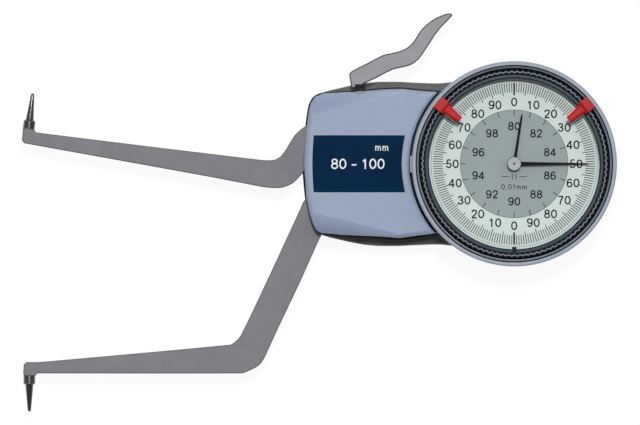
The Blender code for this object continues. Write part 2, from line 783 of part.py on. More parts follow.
# Finger lever, whose outline holds shares of the lever scale, measured from its pivot
lever_shares = (
    (-0.0625, 0.124), (-0.027, 0.137), (0.0445, 0.17), (0.1355, 0.212), (0.194, 0.244), (0.259, 0.274),
    (0.3245, 0.29), (0.396, 0.3095), (0.441, 0.3385), (0.4735, 0.3715), (0.513, 0.43), (0.552, 0.488),
    (0.59, 0.547), (0.636, 0.605), (0.688, 0.658), (0.726, 0.7), (0.7205, 0.7095), (0.701, 0.717),
    (0.643, 0.7), (0.59, 0.677), (0.526, 0.632), (0.4735, 0.579), (0.441, 0.5275), (0.408, 0.482),
    (0.363, 0.443), (0.311, 0.42), (0.246, 0.4035), (0.181, 0.388), (0.058, 0.326), (-0.07, 0.259),
    (-0.0865, 0.235), (-0.0725, 0.1565),
)


def make_lever():
    loop = placed(lever_shares, lever_pivot, lever_scale)
    lever = flat("finger_lever", loop, layer_bottom, lever_top, "steel", pivot=lever_pivot)
    join(lever, shaft("lever_hub", lever_pivot, (layer_bottom, [(lever_hub_radius, lever_top)])))
    half = lever_stem_width / 2
    left, right = lever_pivot.x - half, lever_pivot.x + half
    stem_top = lever_pivot.y + lever_stem_height
    stem = [(left, lever_pivot.y), (right, lever_pivot.y), (right, stem_top), (left, stem_top)]
    join(lever, flat("lever_stem", stem, layer_bottom, lever_top))
    reach, pin, angle = fork_place()
    across = angle + math.pi / 2
    tail_half = lever_pin_radius + clearance
    end = reach + tail_half
    corners = [(0, -tail_half), (end, -tail_half), (end, tail_half), (0, tail_half)]
    tail = [tuple((polar(lever_pivot, r, angle) + polar(dial_axis, t, across)).xy) for r, t in corners]
    join(lever, flat("lever_tail", tail, layer_bottom, lever_top))
    run = [(lever_pin_radius, layer_bottom + clearance)]
    join(lever, shaft("lever_pin", pin, (arm_bottom + clearance, run)))
    cut_hole(lever, lever_pivot, lever_shaft_radius + clearance / 2, layer_bottom, lever_top)
    seat = lever_pivot.y + seal_place
    outer = half + clearance + seal_wall
    low = layer_bottom - seal_wall - clearance
    high = lever_top + seal_wall + clearance
    mesh_loop = [(lever_pivot.x - outer, seat), (lever_pivot.x + outer, seat)]
    mesh_loop += [(x, seat + seal_height) for x, _ in reversed(mesh_loop)]
    seal = flat("lever_seal", mesh_loop, low, high, "black", pivot=lever_pivot)
    gap = half + clearance
    cut_box(
        seal,
        (lever_pivot.x - gap, seat - overrun, layer_bottom - clearance),
        (lever_pivot.x + gap, seat + seal_height + overrun, lever_top + clearance),
    )


def make_pivots():
    run = [(arm_shaft_radius, roof_bottom - clearance)]
    shaft("arm_shaft", arm_pivot, (chassis_bottom, run), "dark_steel")
    run = [(lever_shaft_radius, roof_bottom - clearance)]
    shaft("lever_shaft", lever_pivot, (chassis_bottom, run), "dark_steel", 20)
    ahead, behind = [Vector(point) for point in placed(moving_arm_shares[11:13], arm_pivot, arm_scale)]
    along = (behind - ahead).normalized()
    place = ahead.lerp(behind, stop_share) + Vector((along.y, -along.x)) * (stop_radius + clearance)
    axis = Vector((place.x, place.y, 0))
    shaft("stop_pin", axis, (chassis_top + clearance, [(stop_radius, arm_top)]), "dark_steel", 20)


def wound(name, axis, place_at, turns, wire, points_per_turn=10):
    """Wire along a path that is a function of the turns so far."""
    curve = bpy.data.curves.new(name, "CURVE")
    curve.dimensions = "3D"
    curve.bevel_depth = wire
    curve.bevel_resolution = 1
    curve.use_fill_caps = True
    spline = curve.splines.new("POLY")
    count = turns * points_per_turn + 1
    spline.points.add(count - 1)
    for i, point in enumerate(spline.points):
        point.co = (*place_at(i / points_per_turn), 1)
    guide = bpy.data.objects.new(name, curve)
    guide.location = axis
    cutters.objects.link(guide)
    return add_object(name, baked_mesh(guide, name), "steel")


def make_springs():
    low = sector_top + 2 * spring_wire_radius
    rise = (roof_bottom - spring_wire_radius - clearance - low) / spring_turn_count

    def coil(turn):
        x, y = polar(dial_axis, spring_radius, 2 * math.pi * turn).xy
        return x, y, low + rise * turn

    wound("arm_spring", arm_pivot, coil, spring_turn_count, spring_wire_radius)
    level = (arm_top + wheel_bottom) / 2

    def spiral(turn):
        radius = hairspring_inner + (hairspring_outer - hairspring_inner) * turn / hairspring_turn_count
        x, y = polar(dial_axis, radius, 2 * math.pi * turn).xy
        return x, y, level

    wound("hairspring", take_up_axis, spiral, hairspring_turn_count, hairspring_wire)
    stud = polar(take_up_axis, hairspring_outer + hairspring_wire + clearance + hairspring_stud_radius, 0)
    run = [(hairspring_stud_radius, wheel_bottom - clearance)]
    shaft("hairspring_stud", stud, (chassis_top + clearance, run), "brass", 16)


# Gear train

def mesh_phase(phase, teeth, line, driven_teeth):
    """Tooth angle of a driven gear whose gaps take the teeth of the gear that drives it."""
    return line + math.pi + (line - phase) * teeth / driven_teeth + math.pi / driven_teeth


def make_sector():
    line = bearing(arm_pivot, train_axis)
    pitch = 2 * math.pi / sector_teeth
    spare = 3
    swept = math.ceil(arm_travel / pitch) + spare
    loop = gear_outline(arm_pivot, gear_module, sector_teeth, line, swept + spare + 1, -swept)
    root = sector_radius - dedendum_share * gear_module
    ends = (line + (spare + 0.7) * pitch, line - (swept + 0.7) * pitch)
    loop.append(tuple(polar(arm_pivot, root, ends[0]).xy))
    loop += [tuple(polar(arm_pivot, sector_hub_radius / 2, end).xy) for end in ends]
    loop.append(tuple(polar(arm_pivot, root, ends[1]).xy))
    sector = flat("gear_sector", loop, layer_bottom, sector_top, "brass", pivot=arm_pivot)
    join(sector, shaft("sector_hub", arm_pivot, (layer_bottom, [(sector_hub_radius, sector_top)])))
    cut_hole(sector, arm_pivot, arm_shaft_radius + clearance, layer_bottom, sector_top)
    return line


def make_arbor(name, axis, top, phase, pinion_bottom, pinion_top):
    arbor = shaft(name, axis, (chassis_bottom, [(arbor_radius, top)]), "steel", 12)
    loop = gear_outline(axis, gear_module, pinion_teeth, phase)
    join(arbor, flat(f"{name}_pinion", loop, pinion_bottom, pinion_top))


def make_gear(name, axis, module, teeth, phase, bottom):
    loop = gear_outline(axis, module, teeth, phase)
    hole = circle(axis.xy, arbor_radius + clearance, 12)
    return flat(name, loop, bottom, bottom + gear_thickness, "brass", [hole], axis)


def make_train():
    line = make_sector()
    rim = clearance / 2
    phase = mesh_phase(line, sector_teeth, line, pinion_teeth)
    make_arbor("train_arbor", train_axis, bridge_top, phase, layer_bottom - rim, sector_top + rim)
    line = bearing(train_axis, dial_axis)
    make_gear("train_wheel", train_axis, gear_module, wheel_teeth, line, wheel_bottom)
    phase = mesh_phase(line, wheel_teeth, line, pinion_teeth)
    large_top = large_hand_bottom + hand_thickness
    make_arbor("centre_arbor", dial_axis, large_top, phase, wheel_bottom - rim, wheel_top + rim)
    phase = mesh_phase(phase, pinion_teeth, take_up_bearing, take_up_teeth)
    make_gear("take_up_wheel", take_up_axis, gear_module, take_up_teeth, phase, wheel_bottom)
    shaft("take_up_arbor", take_up_axis, (chassis_bottom, [(arbor_radius, bridge_top)]), "steel", 12)


def make_motion_work():
    make_gear("cannon_pinion", dial_axis, gear_module, pinion_teeth, 0, motion_bottom)
    phase = mesh_phase(0, pinion_teeth, minute_bearing, minute_teeth)
    loop = gear_outline(minute_axis, gear_module, minute_teeth, phase)
    wheel = flat("minute_wheel", loop, motion_bottom, motion_top, "brass", pivot=minute_axis)
    loop = gear_outline(minute_axis, hour_module, pinion_teeth, 0)
    join(wheel, flat("minute_pinion", loop, motion_top - clearance, hour_top))
    cut_hole(wheel, minute_axis, arbor_radius + clearance, motion_bottom, hour_top)
    phase = mesh_phase(0, pinion_teeth, minute_bearing + math.pi, hour_teeth)
    hour = make_gear("hour_wheel", dial_axis, hour_module, hour_teeth, phase, hour_bottom)
    top = small_hand_bottom + hand_thickness
    bore = arbor_radius + clearance
    join(hour, tube("hour_tube", dial_axis, bore, hour_tube_radius, hour_bottom, top, steps=16))


bridge_shares = (
    (-1.0, -0.07), (-1.0, -0.22), (-0.06, -0.5), (0.14, -0.5),
    (0.32, -0.22), (0.32, 0.0), (0.14, 0.4), (-0.06, 0.4),
)


def make_bridge():
    loop = rounded(scaled(bridge_shares, bridge_reach), 2 * pillar_radius)
    bridge = flat("bridge_plate", loop, bridge_bottom, bridge_top, "brass")
    for axis in (dial_axis, train_axis, take_up_axis):
        cut_hole(bridge, axis, arbor_radius + clearance, bridge_bottom, bridge_top)
    post = (bridge_top - clearance, [(arbor_radius, hour_top)])
    join(bridge, shaft("minute_post", minute_axis, post))
    for i, axis in enumerate(pillar_axes):
        cut_hole(bridge, axis, pillar_bore, bridge_bottom, bridge_top)
        pillar_top = bridge_bottom - clearance
        run = [(pillar_radius, pillar_top)]
        pillar = shaft(f"pillar_{i + 1}", axis, (chassis_top + clearance, run), "brass", 20)
        bite = [(pillar_bore, pillar_top + overrun)]
        cut(pillar, shaft(f"pillar_bore_{i + 1}", axis, (pillar_top - bridge_screw_bite, bite)))
        shank = pillar_bore - clearance
        head_bottom = bridge_top + clearance
        runs = [(shank, head_bottom), (pillar_radius, head_bottom + screw_head_height / 2)]
        start = pillar_top - bridge_screw_bite + clearance
        shaft(f"bridge_screw_{i + 1}", axis, (start, runs), "steel", 12)


make_rear_case()
make_front_case()
make_label()
make_chassis()
make_case_screws()
make_dial_ring()
make_bezel()
make_crystal()
make_dial_face()
make_hands()
make_marker("tolerance_marker_left", math.pi / 2 + marker_angle)
make_marker("tolerance_marker_right", math.pi / 2 - marker_angle)
make_moving_arm()
make_fixed_arm()
make_tips()
make_lever()
make_pivots()
make_springs()
make_train()
make_motion_work()
make_bridge()
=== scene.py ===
import json
import math
import bmesh
import bpy
from mathutils import Matrix, Vector

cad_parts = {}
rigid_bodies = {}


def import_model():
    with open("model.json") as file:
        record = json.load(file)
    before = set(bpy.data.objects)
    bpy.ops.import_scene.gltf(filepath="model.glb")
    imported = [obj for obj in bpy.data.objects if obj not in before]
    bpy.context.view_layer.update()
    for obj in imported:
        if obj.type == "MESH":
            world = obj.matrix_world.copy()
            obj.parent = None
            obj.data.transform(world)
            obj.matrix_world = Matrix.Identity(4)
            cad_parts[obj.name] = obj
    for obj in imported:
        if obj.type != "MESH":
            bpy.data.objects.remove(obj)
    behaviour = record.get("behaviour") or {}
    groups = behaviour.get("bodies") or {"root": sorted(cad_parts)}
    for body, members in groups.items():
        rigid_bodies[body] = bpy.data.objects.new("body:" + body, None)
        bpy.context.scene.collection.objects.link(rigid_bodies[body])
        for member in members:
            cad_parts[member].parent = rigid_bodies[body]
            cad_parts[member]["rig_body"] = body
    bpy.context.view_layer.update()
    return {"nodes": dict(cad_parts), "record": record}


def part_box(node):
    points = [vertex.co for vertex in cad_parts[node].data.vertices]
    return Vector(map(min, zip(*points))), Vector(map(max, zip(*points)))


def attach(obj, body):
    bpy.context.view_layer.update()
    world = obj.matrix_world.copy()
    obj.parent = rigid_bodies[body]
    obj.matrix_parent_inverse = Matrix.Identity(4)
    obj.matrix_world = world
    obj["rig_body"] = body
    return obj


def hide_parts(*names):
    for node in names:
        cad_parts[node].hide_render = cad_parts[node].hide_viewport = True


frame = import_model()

# Internal groove gauge lying on its back, in metres: origin on the dial's axis, X to its right, Y up the dial
mm = 0.001
degree = math.pi / 180
up = Vector((0, 0, 1))
cadNodes = frame["nodes"]
slotOf = {part["node"]: part["material_slot"] for part in frame["record"]["subparts"]}
print("packed solids loaded")

# scale of the picture, and the pixel that the dial's axis is on
picture = {"width": 640, "height": 425, "pixel": 0.3137 * mm, "dialX": 514.0, "dialY": 163.85}


def fromPicture(x, y):
    return Vector((x - picture["dialX"], picture["dialY"] - y, 0)) * picture["pixel"]


def polar(radius, angle, height=0.0):
    return Vector((radius * math.cos(angle), radius * math.sin(angle), height))


def lowest(node):
    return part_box(node)[0]


def highest(node):
    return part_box(node)[1]


# finishes: colours as they look on a screen, from 0 to 255
def screenColour(red, green, blue):
    shares = [value / 255 for value in (red, green, blue)]
    return [s / 12.92 if s <= 0.04045 else ((s + 0.055) / 1.055) ** 2.4 for s in shares] + [1.0]


# rough, metal, shine and alpha as the shader has them; wear is how light rubbed corners get, mottle how far
# the colour clouds, grain the size of the fine relief in mm, and relief its strength
standard = {"rough": 0.45, "metal": 0, "shine": 0.1, "wear": 0.25, "mottle": 0.08, "grain": 0.3,
            "relief": 0.1, "alpha": 1}
finishes = {
    "caseEnamel": {"colour": (149, 163, 188), "shine": 0.35, "mottle": 0.02, "grain": 0.35, "relief": 0.12},
    "ringEnamel": {"colour": (149, 158, 175), "rough": 0.4, "shine": 0.4, "mottle": 0.03},
    # painted shade: black put in grooves, gaps and slits where shade falls, also the retainer's black index
    # nose
    "shadeAndIndexBlack": {"colour": (26, 28, 36), "rough": 0.6, "mottle": 0.1, "relief": 0.15},
    "backPaint": {"colour": (98, 97, 98), "rough": 0.55, "shine": 0.25, "grain": 0.4, "relief": 0.3},
    "navyPlate": {"colour": (8, 41, 71), "rough": 0.6, "shine": 0.02, "wear": 0.05,
                  "mottle": 0.06, "relief": 0.08},
    "whiteInk": {"colour": (240, 244, 247), "rough": 0.5, "mottle": 0.02, "grain": 0.2, "relief": 0.05},
    "blackInk": {"colour": (20, 24, 26), "rough": 0.6, "shine": 0.02, "mottle": 0.1,
                 "grain": 0.2, "relief": 0.05},
    "blackPlastic": {"colour": (24, 25, 31), "rough": 0.4, "shine": 0.2, "mottle": 0.15, "relief": 0.15},
    # painted highlight for the bezel's wavy crest
    "crestHighlight": {"colour": (108, 116, 127), "rough": 0.4, "shine": 0.4, "mottle": 0.2,
                      "grain": 0.2, "relief": 0.15},
    "tealPaint": {"colour": (88, 102, 112), "rough": 0.4, "shine": 0.25},
    "dialEnamel": {"colour": (221, 238, 233), "rough": 0.6, "mottle": 0.012, "relief": 0.04},
    "dialGrey": {"colour": (155, 167, 167), "rough": 0.6, "mottle": 0.015, "relief": 0.04},
    "redPlastic": {"colour": (187, 36, 34), "rough": 0.4, "shine": 0.12},
    "handLacquer": {"colour": (8, 9, 10), "shine": 0.05, "mottle": 0.2, "grain": 0.2},
    "hubSteel": {"colour": (166, 174, 175), "metal": 0.1, "shine": 0.2, "mottle": 0.03, "grain": 0.2},
    "armSteel": {"colour": (120, 119, 124), "rough": 0.55, "metal": 0.2, "shine": 0.3, "wear": 0,
                 "mottle": 0.03, "grain": 0.2, "relief": 0.2},
    # painted shade for the arms' top chamfer
    "armEdgeShade": {"colour": (104, 103, 107), "metal": 0.3, "shine": 0.5, "mottle": 0.06,
                "grain": 0.2, "relief": 0.2},
    "leverSteel": {"colour": (130, 131, 134), "metal": 0.2, "shine": 0.3, "wear": 0, "mottle": 0.025,
                   "grain": 0.2, "relief": 0.2},
    # painted shade for the lever's top chamfer
    "leverEdgeShade": {"colour": (66, 63, 62), "metal": 0.3, "shine": 0.5, "grain": 0.2, "relief": 0.2},
    "tipSteel": {"colour": (96, 96, 100), "rough": 0.24, "metal": 1.0, "shine": 0.5,
                 "mottle": 0.15, "relief": 0.15},
    "sealRubber": {"colour": (30, 31, 34), "rough": 0.75, "shine": 0.2, "mottle": 0.2,
                   "grain": 0.4, "relief": 0.35},
    "screwSteel": {"colour": (120, 120, 124), "rough": 0.3, "metal": 0.9, "shine": 0.5, "relief": 0.12},
    "gearBrass": {"colour": (196, 166, 92), "rough": 0.32, "metal": 1.0, "shine": 0.5, "relief": 0.12},
    "gearSteel": {"colour": (168, 169, 172), "rough": 0.25, "metal": 1.0, "shine": 0.5, "mottle": 0.06},
    "clearGlass": {"colour": (60, 68, 68), "rough": 0.05, "shine": 0.5, "mottle": 0.01, "grain": 2.0,
                   "relief": 0.02, "alpha": 0.02},
}

# sizes of the clouds and of the handling marks in mm, and how rubbed corners are found and lightened
surface = {"clouds": 7, "cloudStops": (0.3, 0.7), "marks": 4, "glossSpread": 0.06, "leastRough": 0.02,
           "reliefDepth": 0.03, "wornFrom": 0.53, "wornTo": 0.62, "wornGain": 1.6, "wornLift": 0.02}


def makeFinish(name, look):
    look = standard | look
    material = bpy.data.materials.new(name)
    material.use_nodes = True
    tree = material.node_tree
    shader = tree.nodes["Principled BSDF"]
    shader.inputs["Metallic"].default_value = look["metal"]
    shader.inputs["Specular IOR Level"].default_value = look["shine"]
    shader.inputs["Alpha"].default_value = look["alpha"]
    place = tree.nodes.new("ShaderNodeTexCoord")

    def noise(size, detail):
        texture = tree.nodes.new("ShaderNodeTexNoise")
        texture.inputs["Scale"].default_value = 1 / (size * mm)
        texture.inputs["Detail"].default_value = detail
        tree.links.new(place.outputs["Object"], texture.inputs["Vector"])
        return texture.outputs["Fac"]

    base = screenColour(*look["colour"])[:3]

    def brighter(gain, lift=0.0):
        return [min(1, channel * gain + lift) for channel in base] + [1.0]

    tone = tree.nodes.new("ShaderNodeValToRGB")      # faint clouds of lighter and darker colour
    for element, stop, side in zip(tone.color_ramp.elements, surface["cloudStops"], (-1, 1)):
        element.position = stop
        element.color = brighter(1 + side * look["mottle"])
    tree.links.new(noise(surface["clouds"], 3), tone.inputs["Fac"])

    wear = tree.nodes.new("ShaderNodeMapRange")      # outer corners rubbed a little lighter
    wear.inputs["From Min"].default_value = surface["wornFrom"]
    wear.inputs["From Max"].default_value = surface["wornTo"]
    wear.inputs["To Max"].default_value = look["wear"]
    shape = tree.nodes.new("ShaderNodeNewGeometry")
    tree.links.new(shape.outputs["Pointiness"], wear.inputs["Value"])
    worn = tree.nodes.new("ShaderNodeMix")
    worn.data_type = "RGBA"
    worn.inputs["B"].default_value = brighter(surface["wornGain"], surface["wornLift"])
    tree.links.new(wear.outputs["Result"], worn.inputs["Factor"])
    tree.links.new(tone.outputs["Color"], worn.inputs["A"])
    tree.links.new(worn.outputs["Result"], shader.inputs["Base Color"])

    gloss = tree.nodes.new("ShaderNodeMapRange")     # handling marks in the gloss
    gloss.inputs["To Min"].default_value = max(surface["leastRough"], look["rough"] - surface["glossSpread"])
    gloss.inputs["To Max"].default_value = look["rough"] + surface["glossSpread"]
    tree.links.new(noise(surface["marks"], 3), gloss.inputs["Value"])
    tree.links.new(gloss.outputs["Result"], shader.inputs["Roughness"])

    bump = tree.nodes.new("ShaderNodeBump")
    bump.inputs["Strength"].default_value = look["relief"]
    bump.inputs["Distance"].default_value = surface["reliefDepth"] * mm
    tree.links.new(noise(look["grain"], 4), bump.inputs["Height"])
    tree.links.new(bump.outputs["Normal"], shader.inputs["Normal"])
    return material


materials = {name: makeFinish(name, look) for name, look in finishes.items()}
finishOfSlot = {
    "case": "caseEnamel", "dark_case": "backPaint", "label": "navyPlate", "black": "blackPlastic",
    "retainer": "tealPaint", "dial": "dialEnamel", "red": "redPlastic", "glass": "clearGlass",
    "arm": "armSteel", "dark_steel": "tipSteel", "lever": "leverSteel", "rubber": "sealRubber",
    "screw": "screwSteel", "brass": "gearBrass", "gear_steel": "gearSteel",
}
for name, node in cadNodes.items():
    node.data.materials.clear()
    node.data.materials.append(materials[finishOfSlot[slotOf[name]]])
    node.data.set_sharp_from_angle(angle=30 * degree)
print("finishes made")


# how pieces are shaped and handed over: each rides a body and may stand for the body's plain solid
def addPiece(name, bm, finish, node, edgeFinish=None, stands=True, smooth=35):
    bmesh.ops.remove_doubles(bm, verts=bm.verts, dist=0.0002 * mm)
    bmesh.ops.recalc_face_normals(bm, faces=bm.faces)
    mesh = bpy.data.meshes.new(name)
    bm.to_mesh(mesh)
    bm.free()
    mesh.shade_smooth()
    mesh.set_sharp_from_angle(angle=smooth * degree)
    for face in mesh.polygons:                       # level faces stay level beside rounded edges
        face.use_smooth = abs(face.normal.z) < 0.9999
    mesh.materials.append(materials[finish])
    if edgeFinish:
        mesh.materials.append(materials[edgeFinish])
    piece = bpy.data.objects.new(name, mesh)
    bpy.context.scene.collection.objects.link(piece)
    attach(piece, cadNodes[node]["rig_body"])
    if stands:
        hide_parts(node)
    return piece


ringSteps = 240                                      # facets round each of the large rings


def inMetres(profile):
    return [(radius * mm, height * mm) for radius, height in profile]


def spinProfile(bm, profile, steps, axis=(0, 0)):
    verts = [bm.verts.new((axis[0] + radius, axis[1], height)) for radius, height in profile]
    edges = [bm.edges.new(pair) for pair in zip(verts, verts[1:] + verts[:1])]
    bmesh.ops.spin(bm, geom=verts + edges, cent=(*axis, 0), axis=up, dvec=(0, 0, 0), angle=2 * math.pi,
                   steps=steps, use_merge=True)
    bmesh.ops.remove_doubles(bm, verts=bm.verts, dist=0.001 * mm)
    loose = [vert for vert in bm.verts if not vert.link_faces]
    bmesh.ops.delete(bm, geom=loose, context="VERTS")


def addBox(bm, size, place=(0, 0, 0)):
    box = bmesh.ops.create_cube(bm, size=1)["verts"]
    bmesh.ops.scale(bm, verts=box, vec=Vector(size) * mm)
    bmesh.ops.translate(bm, verts=box, vec=Vector(place) * mm)
    return box


def turnRound(bm, verts, angle):
    bmesh.ops.rotate(bm, verts=verts, cent=(0, 0, 0), matrix=Matrix.Rotation(angle, 3, "Z"))


def raisePlate(bm, outline, bottom, top):
    face = bm.faces.new([bm.verts.new((point[0], point[1], bottom)) for point in outline])
    grown = bmesh.ops.extrude_face_region(bm, geom=[face])["geom"]
    raised = [item for item in grown if isinstance(item, bmesh.types.BMVert)]
    bmesh.ops.translate(bm, verts=raised, vec=(0, 0, top - bottom))
    return raised


def rim(bm, height):                                 # edges between a level face and a wall
    level = [edge for edge in bm.edges if all(abs(vert.co.z - height) < 0.001 * mm for vert in edge.verts)]
    return [edge for edge in level if len({abs(face.normal.z) > 0.9 for face in edge.link_faces}) == 2]


def roundEdges(bm, edges, size, segments):
    bmesh.ops.bevel(bm, geom=edges, offset=size, offset_type="OFFSET", segments=segments, profile=0.5,
                    affect="EDGES", material=-1, clamp_overlap=False)


def mergedCopy(node):
    bm = bmesh.new()
    bm.from_mesh(cadNodes[node].data)
    bmesh.ops.remove_doubles(bm, verts=bm.verts, dist=0.001 * mm)
    return bm


def levelLoops(node, height):                        # the node's outline at a height, and then its holes
    bm = mergedCopy(node)
    bmesh.ops.dissolve_limit(bm, angle_limit=0.5 * degree, verts=bm.verts, edges=bm.edges)
    edges = dict.fromkeys(rim(bm, height))           # in their order, so that a loop always starts alike
    loops = []
    while edges:
        edge = next(iter(edges))
        del edges[edge]
        loop = list(edge.verts)
        while True:
            following = next((e for e in loop[-1].link_edges if e in edges), None)
            if following is None:
                break
            del edges[following]
            loop.append(following.other_vert(loop[-1]))
        loops.append([vert.co.xy.copy() for vert in loop[:-1]])
    bm.free()
    return sorted(loops, key=lambda loop: -sum((a - b).length for a, b in zip(loop, loop[1:] + loop[:1])))


def longestLoop(node, height):
    return levelLoops(node, height)[0]


realCorner = 38 * degree                             # a sharper turn of an outline stays a corner


# a smooth curve through the points, which keeps real corners and leaves room at them for a chamfer
def softened(points, cuts, clear=0.0):
    loop = []
    count = len(points)
    turns = [(points[i] - points[i - 1]).angle(points[(i + 1) % count] - points[i]) for i in range(count)]
    sharp = [turn > realCorner for turn in turns]
    for i in range(count):
        here, after = points[i], points[(i + 1) % count]
        span = (after - here).length
        start = after - here if sharp[i] else (after - points[i - 1]).normalized() * span
        sharpAfter = sharp[(i + 1) % count]
        end = after - here if sharpAfter else (points[(i + 2) % count] - here).normalized() * span
        loop.append(here)
        for step in range(1, cuts):
            t = step / cuts
            point = (here * (2 * t ** 3 - 3 * t ** 2 + 1) + start * (t ** 3 - 2 * t ** 2 + t)
                     + after * (3 * t ** 2 - 2 * t ** 3) + end * (t ** 3 - t ** 2))
            crowded = (sharp[i] and (point - here).length < clear
                       or sharpAfter and (point - after).length < clear)
            if not crowded:
                loop.append(point)
    return loop


def shapedTogether(first, second, operation):        # both meshes are used up, and the result comes back
    solids = []
    for bm in (first, second):
        mesh = bpy.data.meshes.new("working")
        bmesh.ops.recalc_face_normals(bm, faces=bm.faces)
        bm.to_mesh(mesh)
        bm.free()
        solids.append(bpy.data.objects.new("working", mesh))
        bpy.context.scene.collection.objects.link(solids[-1])
    boolean = solids[0].modifiers.new("working", "BOOLEAN")
    boolean.operation = operation
    boolean.solver = "EXACT"
    boolean.object = solids[1]
    boolean.use_self = True
    bpy.context.view_layer.update()
    mesh = bpy.data.meshes.new_from_object(solids[0].evaluated_get(bpy.context.evaluated_depsgraph_get()))
    result = bmesh.new()
    result.from_mesh(mesh)
    bpy.data.meshes.remove(mesh)
    for solid in solids:
        bpy.data.objects.remove(solid)
    return result


# case halves: each packed shell, trimmed to a rounded block
caseShape = {"frontRound": 1.4 * mm, "backRound": 1.8 * mm, "frontSeam": 0.3 * mm, "backSeam": 1.6 * mm,
             "segments": 6, "cuts": 3, "shave": 0.01 * mm, "shrink": 0.9997, "grooveInner": 32.1 * mm,
             "grooveOuter": 32.85 * mm, "grooveFloor": 24.2 * mm, "grooveRound": 1.3 * mm, "grooveSteps": 6,
             "grooveShare": 0.8, "blackWithin": 33 * mm,
             "facets": (((-62.4, -15.4), (-35.8, -22.0), 9), ((-35.8, 22.0), (-62.4, 15.4), 6))}


# a corner planed off, from a line on the top face outward
def cutFacet(bm, start, end, tilt, top):
    run = Vector((end[0] - start[0], end[1] - start[1], 0)).normalized()
    outward = Vector((run.y, -run.x, 0))
    normal = outward * math.sin(tilt * degree) + up * math.cos(tilt * degree)
    bmesh.ops.bisect_plane(bm, geom=[*bm.verts, *bm.edges, *bm.faces], dist=0.0001 * mm, plane_no=normal,
                           plane_co=Vector((start[0] * mm, start[1] * mm, top)), clear_outer=True)
    bmesh.ops.holes_fill(bm, edges=[edge for edge in bm.edges if edge.is_boundary], sides=0)


def dialGroove(top):                                 # the recess in the case round the dial ring
    s = caseShape
    profile = [(s["grooveInner"], s["grooveFloor"]), (s["grooveOuter"], s["grooveFloor"])]
    for step in range(s["grooveSteps"] + 1):
        turn = step / s["grooveSteps"] * math.pi / 2
        profile.append((s["grooveOuter"] + s["grooveRound"] * (1 - math.cos(turn)),
                        top - (1 - math.sin(turn)) * (top - s["grooveFloor"]) * s["grooveShare"]))
    profile += [(profile[-1][0], top + mm), (s["grooveInner"], top + mm)]
    bm = bmesh.new()
    spinProfile(bm, profile, ringSteps)
    return bm


def makeCaseHalf(name, node, outer, inner, rounding, seam):
    s = caseShape
    outline = softened(longestLoop(node, outer), s["cuts"])
    mould = bmesh.new()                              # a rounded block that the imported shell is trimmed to
    shave = s["shave"] * (1 if inner > outer else -1)
    raisePlate(mould, outline, outer + shave, inner - shave)
    roundEdges(mould, rim(mould, outer + shave), rounding, s["segments"])
    roundEdges(mould, rim(mould, inner - shave), seam, s["segments"])
    bmesh.ops.scale(mould, verts=mould.verts, vec=(s["shrink"], s["shrink"], 1))
    isFront = outer > inner
    if isFront:
        for start, end, tilt in s["facets"]:
            cutFacet(mould, start, end, tilt, outer)
        mould = shapedTogether(mould, dialGroove(outer), "DIFFERENCE")
    shell = shapedTogether(mould, mergedCopy(node), "INTERSECT")
    for face in shell.faces:                         # painted shade: the floor and foot of the groove are painted black
        middle = face.calc_center_median()
        inGroove = abs(middle.z - s["grooveFloor"]) < 0.3 * mm and middle.xy.length < s["blackWithin"]
        face.material_index = isFront and inGroove
    return addPiece(name, shell, finishOfSlot[slotOf[node]], node, "shadeAndIndexBlack")


# black rim between the case halves that stands out as a fine black line round the front: painted shade for
# the shaded gap between the halves
gapShadeShape = {"bottom": 13.03, "top": 13.24, "proud": 0.5, "middle": (-30, 0)}


def makeGapShade():
    s = gapShadeShape
    outline = softened(longestLoop("front_case", highest("front_case").z), caseShape["cuts"])
    bm = bmesh.new()
    raisePlate(bm, outline, s["bottom"] * mm, s["top"] * mm)
    middle = Vector(s["middle"]) * mm
    for vert in bm.verts:                            # stands out from the case evenly
        vert.co.xy += (vert.co.xy - middle).normalized() * s["proud"] * mm
    return addPiece("caseGapShade", bm, "sealRubber", "front_case", stands=False)


# dial ring: an enamelled ring with a flat band, a groove for the markers and a bore for the bezel
ringShape = {"outer": 32.15, "bore": 30.0, "top": 31.2, "bottom": 25.3, "grooveOuter": 30.94,
             "grooveInner": 30.5, "grooveFloor": 30.4, "slopeDrop": 0.56, "round": 0.45, "lip": 29.5}


def makeDialRing():
    s = ringShape
    profile = [(s["lip"], s["bottom"]), (s["outer"] - 0.3, s["bottom"]), (s["outer"], s["bottom"] + 0.3),
               (s["outer"], s["top"] - s["round"]), (s["outer"] - 0.13, s["top"] - 0.13),
               (s["outer"] - s["round"], s["top"]), (s["grooveOuter"] + 0.05, s["top"]),
               (s["grooveOuter"], s["top"] - 0.05), (s["grooveOuter"], s["grooveFloor"]),
               (s["grooveInner"], s["grooveFloor"]), (s["grooveInner"], s["top"] - 0.04),
               (s["grooveInner"] - 0.04, s["top"]), (s["bore"] + 0.03, s["top"] - s["slopeDrop"]),
               (s["bore"], s["top"] - s["slopeDrop"] - 0.05), (s["bore"], s["bottom"] + 0.3),
               (s["lip"], s["bottom"] + 0.25)]
    bm = bmesh.new()
    spinProfile(bm, inMetres(profile), ringSteps)
    for face in bm.faces:                            # painted shade: the groove's floor is painted black, and so is the lip below the gap to the bezel
        middle = face.calc_center_median()
        inGroove = abs(middle.z - s["grooveFloor"] * mm) < 0.02 * mm and middle.xy.length < s["outer"] * mm
        face.material_index = inGroove or middle.xy.length < (s["bore"] - 0.1) * mm
    return addPiece("dialRing", bm, "ringEnamel", "dial_ring", "shadeAndIndexBlack", smooth=40)


# lug of the case that closes the groove beside the ring, at nine o'clock
lugShape = {"inner": 32.2, "outer": 32.75, "bottom": 24.15, "top": 30.6, "from": 175.6, "turn": 9.2,
            "steps": 10}


